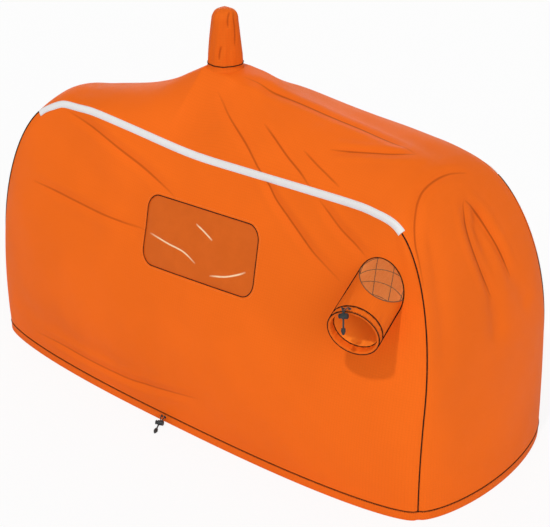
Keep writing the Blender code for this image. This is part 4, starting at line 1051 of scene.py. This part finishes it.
def buildPocket():
    radius, tip, height = peak["radius"], peak["tipRadius"], peak["height"]
    angle = circle(peak["sides"])
    ridgeLine = grids["band"][120:-120, grids["band"].shape[1] // 2]  # without the ends, where x turns back
    top = float(np.interp(peak["x"], ridgeLine[:, 0], ridgeLine[:, 2]))
    profile = [(0.0, radius), (0.030, radius * 0.975), (height * 0.40, radius * 0.91), (height * 0.62, radius * 0.83)]
    profile += [(height - 0.85 * tip + (0.85 * tip + 0.002) * math.sin(a) ** 0.9, (tip + 0.0015) * math.cos(a) ** 0.9)
                for a in np.linspace(0.0, math.pi / 2, 9)]
    profile = np.array(profile)
    profile[-1, 1] = 0.0004
    level, reach = evenPlaces(profile, peak["rows"])[0].T
    foot = radius + peak["flare"]
    root = roofHeights(peak["x"] + foot * np.cos(angle), foot * np.sin(angle)) - top - 0.002
    heights = level[:, None] + root * (1 - ease(0.0, 0.35 * height, level))[:, None]
    fade = ease(0.0, 0.02, level)[:, None] * ease(0.0, 0.6 * tip, reach)[:, None]
    reach = reach + peak["flare"] * clamp(1 - level / peak["seam"]) ** 2
    wave = sum(size * np.sin(turns * angle + start + run * level[:, None])
               for size, turns, start, run in peak["waves"]) * fade
    out = np.stack([np.cos(angle), np.sin(angle), np.zeros_like(angle)], axis=1)
    away = out + np.array([0.0, 0.0, 0.2])
    grid = np.array([peak["x"], 0.0, top]) + out * (reach[:, None] + wave)[..., None]
    grid[..., 2] += heights
    outward = gridNormals(grid, away, wrap=True)
    inward = creaseDepth(grid, outward, creases["pocket"], *peak["crease"])
    grid = grid - outward * inward[..., None]
    outward = gridNormals(grid, away, wrap=True)
    marks = creaseMarks(grid, outward, creases["pocket"], peak["creaseReach"])
    addCloth("peakPocket", "peak_pocket", grid, outward, "pocket", marks, wrap=True)
    areas["peakPocket"] = surfaceArea(grid, wrap=True)
    seamHeight = top + peak["seam"] + peak["seamTilt"] * np.cos(angle - peak["seamFacing"])
    low = grid[:60]
    seam = np.array([[np.interp(seamHeight[k], low[:, k, 2], low[:, k, axis]) for axis in range(3)]
                     for k in range(peak["sides"])])
    addTube("pocketPiping", "shell", seam + out * 0.0005, peak["piping"], "piping", closed=True)


buildPocket()
print("pocket made")


# Window pane behind its bound edge

def leaned(a, b):  # from the window's own two directions to x and z
    return window["x"] + a - window["lean"] * b, window["z"] + b + window["tilt"] * a


def windowOutline(grow, count=240):
    corner = window["corner"] + grow
    a, b = window["width"] / 2 + grow - corner, window["height"] / 2 + grow - corner
    outline = looped(np.array(arcs(((a, b), (-a, b), (-a, -b), (a, -b)), corner, 15)))
    return leaned(*evenPlaces(outline, count, False)[0].T)


def onFront(x, z, lift, step=1e-3):  # a place on the front panel's own facets, and its outward direction
    slopeX = (wallStand(x + step, z) - wallStand(x - step, z)) / (2 * step)
    slopeZ = (wallStand(x, z + step) - wallStand(x, z - step)) / (2 * step)
    out = unit(np.stack([-slopeX, -np.ones_like(x), -slopeZ], axis=-1))
    return seat(np.stack([x, -wallStand(x, z), z], axis=-1), out, lift, "front"), out


def buildWindow():
    across, up = (np.linspace(-1, 1, cells + 1) for cells in window["cells"])
    a = across[None, :] * (window["width"] / 2 + window["margin"])
    b = up[:, None] * (window["height"] / 2 + window["margin"])
    x, z = leaned(a, b)
    grid, out = (part.reshape(*x.shape, 3) for part in onFront(x.ravel(), z.ravel(), -window["behind"]))
    inward = creaseDepth(grid, out, creases["window"], *window["crease"])
    waves = (1 - np.cos(31 * x)) * (1 - np.cos(47 * z + x * 20)) * 0.25
    grid = grid - out * (inward + window["waves"] * waves)[..., None]
    out = outwardNormals(grid)
    marks = creaseMarks(grid, out, creases["window"], window["creaseReach"])
    addPiece("windowPane", closedSheet("windowPane", grid, out, "film", marks, thick=window["thick"]),
             "window", "window_film")
    areas["windowPane"] = surfaceArea(grid)
    path, lifts = onFront(*windowOutline(window["binding"] * 0.3), 0.0003)
    addTube("windowBinding", "shell", path, window["binding"] / 2, "piping", flatten=0.45, lifts=lifts, closed=True)


buildWindow()
print("window made")


# Seam piping down the four upright seams, from the tape to the hem, and on the sleeve

piping = {"radius": 0.0015, "lift": 0.0004, "proud": 0.0006, "thin": 0.0011, "side": 0.0013, "hem": 0.0010,
          "net": 0.0009, "outHem": (-0.0002, -0.0001), "mouth": (0.0001, -0.0004), "inner": (-0.0003, 0.0010)}


def buildPiping():
    count = shell["sideCells"] + 1
    for name, column, rows in (("FrontLeft", 0, np.s_[:count - 5]), ("FrontRight", 0, np.s_[-count:]),
                               ("RearLeft", -1, np.s_[:count]), ("RearRight", -1, np.s_[-count:])):
        out = unit(grids["bandOut"][rows, column] + np.array([0.0, -1.0 if column == 0 else 1.0, 0.0]))
        path = grids["band"][rows, column] + out * piping["lift"]
        addTube("seamPiping" + name, "shell", path, piping["radius"], "piping")
    angle, radius, lift, proud = circle(vent["sides"]), vent["radius"], piping["lift"], piping["proud"]
    length, hemStart = vent["length"], vent["length"] - vent["hemWidth"]
    wall, slant = reachOfWall(angle), netEdge(angle)
    addTube("sleeveRootPiping", "shell", sleevePoint(angle, radius + proud, wall + lift), piping["thin"], "piping",
            closed=True)
    out, down = piping["outHem"]
    addTube("hemPiping", "hem", hemRow(out, shell["hemTop"] + down)[::2], piping["hem"], "piping", sides=6,
            closed=True)
    order = np.flatnonzero(slant > wall + 0.002)
    order = order[np.argsort((angle[order] + math.pi / 2) % (2 * math.pi))]
    addTube("netEdgePiping", "net", sleevePoint(angle[order], radius + lift, slant[order]), piping["net"], "netRib")
    for name, turn in (("sleeveSeamLeft", vent["seamLeft"]), ("sleeveSeamRight", vent["seamRight"])):
        turn = np.array([turn])
        along = np.linspace(max(reachOfWall(turn)[0], netEdge(turn)[0]), length - proud, 40)
        addTube(name, "shell", sleevePoint(turn, radius + lift, along), piping["side"], "piping")
    for name, reach, along, moved in (("ventMouthPiping", radius, length, piping["mouth"]),
                                      ("ventHemPiping", radius, hemStart, (proud, 0.0)),
                                      ("ventInnerPiping", radius - vent["hemInner"], hemStart, piping["inner"])):
        path = sleevePoint(angle, reach + moved[0], along + moved[1])
        addTube(name, "hem", path, piping["thin"], "piping", closed=True)


buildPiping()
print("piping made")


# Cord locks and pulls: turned shapes, each with a slot for the two tails, that lie where the frame's own ones do

lock = {"hole": 0.0015, "stack": 0.00285, "travel": 0.0025, "below": 0.0097, "sides": 48, "sharp": 35,
        "through": 0.012, "pullSlot": (-0.002, 0.005)}
bodyOutline = ((-0.0097, 0.0), (-0.0097, 0.0050), (-0.0094, 0.0056), (-0.0089, 0.0059), (-0.0084, 0.0060),
               (-0.0078, 0.0060), (-0.0076, 0.0057), (-0.0073, 0.0057), (-0.0071, 0.0060), (-0.0062, 0.0060),
               (-0.0060, 0.0057), (-0.0057, 0.0057), (-0.0055, 0.0060), (0.0036, 0.0060), (0.0040, 0.0059),
               (0.0043, 0.0056), (0.0043, 0.0045), (0.0042, 0.0043), (-0.0082, 0.0043), (-0.0082, 0.0))
plungerOutline = ((-0.0027, 0.0), (-0.0027, 0.0038), (-0.0025, 0.0040), (0.0071, 0.0040), (0.0071, 0.0050),
                  (0.0073, 0.0052), (0.0088, 0.0052), (0.0092, 0.0051), (0.0095, 0.0048), (0.0096, 0.0044),
                  (0.0096, 0.0031), (0.0094, 0.0029), (0.0094, 0.0))
pullOutline = ((0.0, 0.0), (0.0, 0.0036), (0.0002, 0.0040), (0.0006, 0.0042), (0.0014, 0.0044), (0.0022, 0.0044),
               (0.0036, 0.0046), (0.0053, 0.0048), (0.0062, 0.0047), (0.0073, 0.0045), (0.0084, 0.0041),
               (0.0098, 0.0036), (0.0112, 0.0030), (0.0126, 0.0024), (0.0134, 0.0020), (0.0138, 0.0015),
               (0.0140, 0.0008), (0.0140, 0.0))
jointAxes = {joint["name"]: unit(np.array(joint["axis"])) for joint in frame["joints"]}


def turned(name, outline, up, side, centre, finish):  # heights and radii from axis to axis, turned about up
    angle = circle(lock["sides"])[:, None]
    ring = np.cos(angle) * side + np.sin(angle) * np.cross(up, side)
    points, rings = [], []
    for height, radius in outline:
        row = centre + up * height + (ring * radius if radius else np.zeros((1, 3)))
        rings.append([len(points) + k % len(row) for k in range(lock["sides"] + 1)])
        points += row.tolist()
    faces = [tuple(dict.fromkeys((low[k], low[k + 1], high[k + 1], high[k])))
             for low, high in zip(rings, rings[1:]) for k in range(lock["sides"])]
    return linkMesh(name, points, faces, finish, sharp=lock["sharp"])


def settle(made, change):  # a modifier's result becomes the plain mesh
    bpy.context.view_layer.update()
    result = bpy.data.meshes.new_from_object(made.evaluated_get(bpy.context.evaluated_depsgraph_get()))
    made.modifiers.remove(change)
    made.data = result


def cutSlot(made, axes, centre, high, start, stop):  # a slot for the tails, longer towards the first axis by high
    across, along, over = axes
    reach = lock["stack"] - lock["hole"]
    outline = np.array(arcs(((high, reach), (0.0, reach), (0.0, -reach), (high, -reach)), lock["hole"], 7))
    places = centre + outline[:, :1] * across + outline[:, 1:] * over
    count = len(places)
    faces = [tuple(range(count)), tuple(range(2 * count - 1, count - 1, -1))]
    faces += [(k, k + count, (k + 1) % count + count, (k + 1) % count) for k in range(count)]
    mesh = bpy.data.meshes.new("slot")
    mesh.from_pydata([*(places + along * start).tolist(), *(places + along * stop).tolist()], [], faces)
    cutter = linkObject("slot", mesh)
    change = made.modifiers.new("slot", "BOOLEAN")
    change.operation, change.solver, change.object = "DIFFERENCE", "EXACT", cutter
    settle(made, change)
    bpy.data.objects.remove(cutter)
    made.data.set_sharp_from_angle(angle=math.radians(lock["sharp"]))


def span(node, axes):  # a node's low and high corners, measured along three axes of its own
    places = np.array([vertex.co for vertex in frame["nodes"][node].data.vertices]) @ axes.T
    return places.min(axis=0), places.max(axis=0)


def buildLocks():
    for where in ("base", "vent"):
        across, along = -jointAxes[where + "_plunger_press"], jointAxes[where + "_lock_slide"]
        axes = np.stack([across, along, np.cross(across, along)])
        low, high = span(where + "_lock_body", axes)
        centre = np.array([low[0] + lock["below"], *((low + high) / 2)[1:]]) @ axes
        for name, outline, longer, body in (("Body", bodyOutline, 0.0, "_lock"),
                                            ("Plunger", plungerOutline, lock["travel"], "_plunger")):
            made = turned(where + "Lock" + name, outline, across, along, centre, "lock")
            cutSlot(made, axes, centre, longer, -lock["through"], lock["through"])
            addPiece(where + "Lock" + name, made, "lock", where + "_lock_" + name.lower(), body=where + body)
        low, high = span(where + "_cord_end", axes)
        mouth = np.array([(low + high)[0] / 2, low[1], (low + high)[2] / 2]) @ axes
        pull = turned(where + "CordEnd", pullOutline, along, axes[2], mouth, "end")
        cutSlot(pull, axes, mouth, 0.0, *lock["pullSlot"])
        addPiece(where + "CordEnd", pull, "lock", where + "_cord_end")


buildLocks()
print("cord locks made")


# Drawcords and tails

cordage = {"diameter": 0.0024, "step": 0.0012}
tailRoutes = {  # places in hundredths of a mm
    "baseTailUpper": ((-4450, -29404, 1400), (-4450, -29524, 1400), (-4364, -29856, 1384), (-4177, -30129, 1277),
                      (-3984, -30342, 1079), (-3811, -30611, 960), (-3672, -30931, 942), (-3526, -31246, 907),
                      (-3379, -31561, 872), (-3233, -31876, 837), (-3086, -32191, 802), (-2940, -32506, 767),
                      (-2794, -32822, 732), (-2647, -33137, 697), (-2501, -33452, 662), (-2354, -33767, 627)),
    "baseTailLower": ((-3550, -29405, 1400), (-3550, -29525, 1400), (-3525, -29811, 1200), (-3598, -30059, 965),
                      (-3810, -30286, 801), (-3868, -30581, 695), (-3693, -30885, 675), (-3546, -31202, 640),
                      (-3398, -31520, 605), (-3251, -31837, 570), (-3103, -32155, 534), (-2956, -32472, 499),
                      (-2808, -32790, 464), (-2661, -33108, 429), (-2513, -33425, 393), (-2366, -33743, 358)),
    "ventTailUpper": ((51545, -33967, 53830), (51507, -34001, 53938), (51477, -34223, 54211),
                      (51617, -34507, 54358), (51852, -34770, 54365), (52124, -34980, 54283),
                      (52392, -35145, 54122), (52585, -35288, 53867), (52681, -35421, 53553),
                      (52789, -35556, 53244), (52897, -35691, 52934), (53005, -35827, 52625),
                      (53113, -35962, 52315), (53220, -36097, 52005), (53328, -36233, 51696),
                      (53436, -36368, 51386), (53544, -36503, 51077), (53652, -36639, 50767)),
    "ventTailLower": ((52970, -33698, 54209), (52962, -33727, 54325), (52922, -33952, 54574),
                      (52818, -34268, 54590), (52710, -34540, 54420), (52593, -34744, 54175),
                      (52518, -34953, 53919), (52596, -35098, 53625), (52704, -35225, 53328),
                      (52808, -35355, 53031), (52911, -35485, 52734), (53015, -35615, 52437),
                      (53118, -35745, 52140), (53221, -35874, 51843), (53325, -36004, 51546),
                      (53428, -36134, 51249), (53532, -36264, 50952), (53635, -36394, 50654)),
}


def buildCords():
    radius = cordage["diameter"] / 2
    for where in ("base", "vent"):
        for side in ("Upper", "Lower"):
            key = where + "Tail" + side
            route = np.array(tailRoutes[key]) / 100000
            fine = np.concatenate([route[:1], smoothRoute(route[1:], cordage["step"])])
            addTube(key, "cord", fine, radius, "cord", where + "_tail_" + side.lower(), sides=12, move=0.0)
    addTube("baseDrawcord", "cord", hemRow(hem["depth"] / 2, hem["cordHeight"])[::3], radius, "cord",
            "base_drawcord", closed=True)
    loop = sleevePoint(circle(96), vent["radius"] - vent["hemInner"] / 2, vent["length"] - vent["hemWidth"] / 2)
    addTube("ventDrawcord", "cord", loop, radius, "cord", "vent_drawcord", closed=True)
    for name in ("base_eyelet_left", "base_eyelet_right", "vent_eyelet_left", "vent_eyelet_right"):
        for slot in frame["nodes"][name].material_slots:
            slot.material = finishes["eyelet"]


buildCords()
print("cords made")


# Springs of the cord locks: a coil in each, its turns spaced so that they lie evenly once its plunger is pressed in

coil = {"wire": 0.0006, "radius": 0.0029, "turns": 3, "perTurn": 28}


def buildSprings():
    share = np.linspace(0.0, 1.0, 400)
    steps = np.linspace(0.0, 1.0, coil["turns"] * coil["perTurn"] + 1)
    turn = steps * coil["turns"] * 2 * math.pi
    for where in ("base", "vent"):
        axis = jointAxes[where + "_plunger_press"]
        side = unit(np.cross(axis, [0.0, 0.0, 1.0]))
        axes = np.stack([axis, side, np.cross(axis, side)])
        low, high = span(where + "_lock_spring", axes)
        middle = (low + high) / 2
        run = high[0] - low[0] - coil["wire"]
        pressed = share * run - lock["travel"] * share ** 2 * (3 - 2 * share)
        depth = np.interp(steps * pressed[-1], pressed, share * run)
        first, last = high[0] - coil["wire"] / 2, low[0] + coil["wire"] / 2
        local = np.stack([first - depth, middle[1] + coil["radius"] * np.cos(turn),
                          middle[2] + coil["radius"] * np.sin(turn)], axis=1)
        made = sweepTube(where + "SpringCoil", local @ axes, coil["wire"] / 2, "spring", move=0.0)
        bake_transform(made)
        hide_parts(where + "_lock_spring")


buildSprings()
print("springs made")


# Stitching, by Geometry Nodes: a stitch at even steps along each line

stitch = {"lift": 0.0003, "tapeInset": 0.0018, "belowHem": 0.0022, "mouth": (0.0024, 0.0032)}
stitchSizes = {"Pitch": 0.0040, "Length": 0.0031, "Thread": 0.0011, "Unevenness": 0.08}


def newTree(name, sizes):
    tree = bpy.data.node_groups.new(name, "GeometryNodeTree")
    tree.interface.new_socket("Geometry", in_out="INPUT", socket_type="NodeSocketGeometry")
    for key in sizes:
        tree.interface.new_socket(key, in_out="INPUT", socket_type="NodeSocketFloat")
    tree.interface.new_socket("Finish", in_out="INPUT", socket_type="NodeSocketMaterial")
    tree.interface.new_socket("Geometry", in_out="OUTPUT", socket_type="NodeSocketGeometry")
    bench = Bench(tree)
    return tree, bench, bench.add("NodeGroupInput")


def endTree(bench, given, made):
    made = bench.add("GeometryNodeSetMaterial", None, {"Geometry": made, "Material": given.other("Finish")})
    bench.add("NodeGroupOutput", None, {0: made})


def stitchTree():
    tree, bench, given = newTree("stitchRow", stitchSizes)
    path = bench.add("GeometryNodeMeshToCurve", None, {"Mesh": given})
    path = bench.add("GeometryNodeResampleCurve", {"mode": "LENGTH"}, {"Curve": path, "Length": given.other("Pitch")})
    ball = bench.add("GeometryNodeMeshUVSphere", None, {"Segments": 6, "Rings": 4, "Radius": 1.0})
    turn = bench.add("FunctionNodeAlignRotationToVector", {"axis": "X"},
                     {"Vector": bench.add("GeometryNodeInputTangent")})
    change = bench.add("FunctionNodeRandomValue", {"data_type": "FLOAT"}, {"Seed": 7, 2: -1.0, 3: 1.0}, 1)
    length = given.other("Length") * 0.5 * (1 + change * given.other("Unevenness"))
    thread = given.other("Thread") * 0.5
    size = bench.add("ShaderNodeCombineXYZ", None, {0: length, 1: thread, 2: thread})
    made = bench.add("GeometryNodeInstanceOnPoints", None,
                     {"Points": path, "Instance": ball, "Rotation": turn, "Scale": size})
    made = bench.add("GeometryNodeRealizeInstances", None, {"Geometry": made})
    endTree(bench, given, bench.add("GeometryNodeSetShadeSmooth", None, {0: made}))
    return tree


def addRun(key, slot, lines, tree, finish, values, *replaced):  # lines are rows of points, closed or not
    points, edges = [], []
    for line, closed in lines:
        first = len(points)
        points += (line + toFrame).tolist()
        edges += [(k, k + 1) for k in range(first, len(points) - 1)]
        if closed:
            edges.append((len(points) - 1, first))
    mesh = bpy.data.meshes.new(key + "Lines")
    mesh.from_pydata(points, edges, [])
    made = linkObject(key, mesh)
    change = made.modifiers.new("nodes", "NODES")
    change.node_group = tree
    values = {**values, "Finish": finishes[finish]}
    for item in tree.interface.items_tree:
        if item.in_out == "INPUT" and item.name in values:
            change[item.identifier] = values[item.name]
    settle(made, change)
    addPiece(key, made, slot, *replaced)


def buildStitches():
    tree = stitchTree()
    tapeEdges = []
    for grid, out in tapes:
        for edge, beside in ((0, 1), (-1, -2)):
            inset = unit(grid[:, beside] - grid[:, edge]) * stitch["tapeInset"]
            tapeEdges.append((grid[:, edge] + inset + out[:, edge] * stitch["lift"], False))
    around = circle(160)
    mouth = [(sleevePoint(around, vent["radius"] + 0.0005, along), True)
             for along in (vent["length"] - vent["hemWidth"] + stitch["mouth"][0],
                           vent["length"] - stitch["mouth"][1])]
    outline = onFront(*windowOutline(window["stitchesOut"], 300), stitch["lift"])[0]
    for key, slot, lines, finish, sizes in (
            ("hemStitching", "shell", [(hemRow(-0.0004, hem["height"] - stitch["belowHem"]), True)], "stitch", {}),
            ("tapeStitching", "strip", tapeEdges, "paleStitch",
             {"Pitch": 0.0036, "Length": 0.0027, "Thread": 0.0007}),
            ("windowStitching", "shell", [(outline, True)], "net",
             {"Pitch": 0.0036, "Length": 0.0026, "Thread": 0.0006}),
            ("ventStitching", "shell", mouth, "stitch", {"Pitch": 0.0034, "Length": 0.0027, "Thread": 0.0010})):
        addRun(key, slot, lines, tree, finish, {**stitchSizes, **sizes})


buildStitches()
print("stitching made")


# Net in the sleeve's upper side: a fine net with a few thicker ribs

net = {"reach": 0.120, "step": 0.0022, "lap": 0.001, "widest": 2.4, "sets": (
    {"key": "netStrands", "pitch": 0.0026, "turn": math.radians(58.0), "shift": 0.0, "strand": 0.0010,
     "inside": 0.0011, "finish": "net", "replaced": ["vent_mesh"]},
    {"key": "netRibs", "pitch": 0.0370, "turn": math.radians(-17.0), "shift": 0.006, "strand": 0.0013,
     "inside": 0.0003, "finish": "netRib", "replaced": []})}


def strandTree():
    tree, bench, given = newTree("netStrands", ["Strand"])
    path = bench.add("GeometryNodeMeshToCurve", None, {"Mesh": given})
    profile = bench.add("GeometryNodeCurvePrimitiveCircle", None,
                        {"Resolution": 4, "Radius": given.other("Strand") * 0.5})
    made = bench.add("GeometryNodeCurveToMesh", None, {"Curve": path, "Profile Curve": profile, "Fill Caps": True})
    endTree(bench, given, bench.add("GeometryNodeRealizeInstances", None, {"Geometry": made}))
    return tree


def netLines(pitch, turn, shift, radius):  # two crossing sets, cut at the wall and at the net's lower edge
    places = np.arange(-net["reach"], net["reach"], net["step"])
    lines = []
    for way in (0, 1):
        for offset in np.arange(-net["reach"], net["reach"], pitch) + shift:
            beside = np.full_like(places, offset)
            a, b = (places, beside) if way else (beside, places)
            around = a * math.cos(turn) - b * math.sin(turn)
            along = a * math.sin(turn) + b * math.cos(turn)
            angle = math.pi / 2 - around / radius
            inside = ((along > reachOfWall(angle) - net["lap"]) & (along < netEdge(angle) + net["lap"])
                      & (np.abs(around) < radius * net["widest"]))
            points = sleevePoint(angle, radius, along)
            starts = np.flatnonzero(np.diff(np.concatenate([[0], inside.astype(int), [0]])))
            lines += [(points[first:last], False) for first, last in zip(starts[::2], starts[1::2])
                      if last - first > 1]
    return lines


def buildNet():
    tree = strandTree()
    for made in net["sets"]:
        lines = netLines(made["pitch"], made["turn"], made["shift"], vent["radius"] - made["inside"])
        addRun(made["key"], "net", lines, tree, made["finish"], {"Strand": made["strand"]}, *made["replaced"])


buildNet()
print("net made")


# Floor, light and camera

studio = {"floor": 0.86, "reach": 14.0, "under": 0.0004, "whiten": 0.88, "ambient": 0.50,
          "azimuth": 39.535, "elevation": 28.942, "distance": 3.908, "target": (0.0423, 0.0201, 0.3212),
          "lens": 108.06,
          "suns": (("keySun", (-0.10, 0.55, -0.83), 0.36, 3.0), ("fillSun", (-0.78, 0.47, -0.42), 0.28, 40.0),
                   ("backSun", (0.62, -0.76, -0.12), 0.26, 40.0))}


def buildFloor():
    made, bench = newMaterial("paleFloor")
    level = studio["floor"]
    colour = bench.blend(bench.noise(bench.place(), 1.2, 2.0), opaque([level] * 3), opaque([level] * 3, 1.02))
    matt = bench.add("ShaderNodeBsdfDiffuse", None, {"Color": colour})
    bright = bench.add("ShaderNodeEmission", None, {"Color": opaque([1.0] * 3), "Strength": 1.0})
    seen = bench.add("ShaderNodeLightPath", None, None, "Is Camera Ray") * studio["whiten"]
    both = bench.add("ShaderNodeMixShader", None, {0: seen, 1: matt, 2: bright})
    bench.add("ShaderNodeOutputMaterial", None, {"Surface": both})
    mesh = bpy.data.meshes.new("floor")
    mesh.from_pydata([(a * studio["reach"], b * studio["reach"], -studio["under"])
                      for a, b in ((-1, -1), (1, -1), (1, 1), (-1, 1))], [], [(0, 1, 2, 3)])
    mesh.materials.append(made)
    linkObject("floor", mesh)


def buildStudio():
    scene = bpy.context.scene
    scene.world = bpy.data.worlds.new("studio")
    scene.world.use_nodes = True
    scene.world.node_tree.nodes.clear()
    bench = Bench(scene.world.node_tree)
    path = bench.add("ShaderNodeLightPath", None, None, "Is Camera Ray")
    seen = path.most(path.other("Is Transmission Ray"))
    soft, white = (bench.add("ShaderNodeBackground", None, {"Color": opaque([1.0] * 3), "Strength": strength})
                   for strength in (studio["ambient"], 1.0))
    both = bench.add("ShaderNodeMixShader", None, {0: seen, 1: soft, 2: white})
    bench.add("ShaderNodeOutputWorld", None, {"Surface": both})
    for name, travel, share, softness in studio["suns"]:
        light = bpy.data.lights.new(name, "SUN")
        light.energy, light.angle = share * math.pi, math.radians(softness)
        linkObject(name, light).rotation_euler = Vector(travel).to_track_quat("-Z", "Y").to_euler()
    azimuth, elevation = math.radians(studio["azimuth"]), math.radians(studio["elevation"])
    away = Vector((math.sin(azimuth) * math.cos(elevation), -math.cos(azimuth) * math.cos(elevation),
                   math.sin(elevation)))
    scene.camera = linkObject("camera", bpy.data.cameras.new("camera"))
    scene.camera.data.lens, scene.camera.data.sensor_width = studio["lens"], 36.0
    scene.camera.location = Vector(studio["target"]) + away * studio["distance"]
    scene.camera.rotation_euler = (-away).to_track_quat("-Z", "Y").to_euler()
    scene.view_settings.view_transform = "Standard"


buildFloor()
buildStudio()
print("studio made")

bpy.context.view_layer.update()
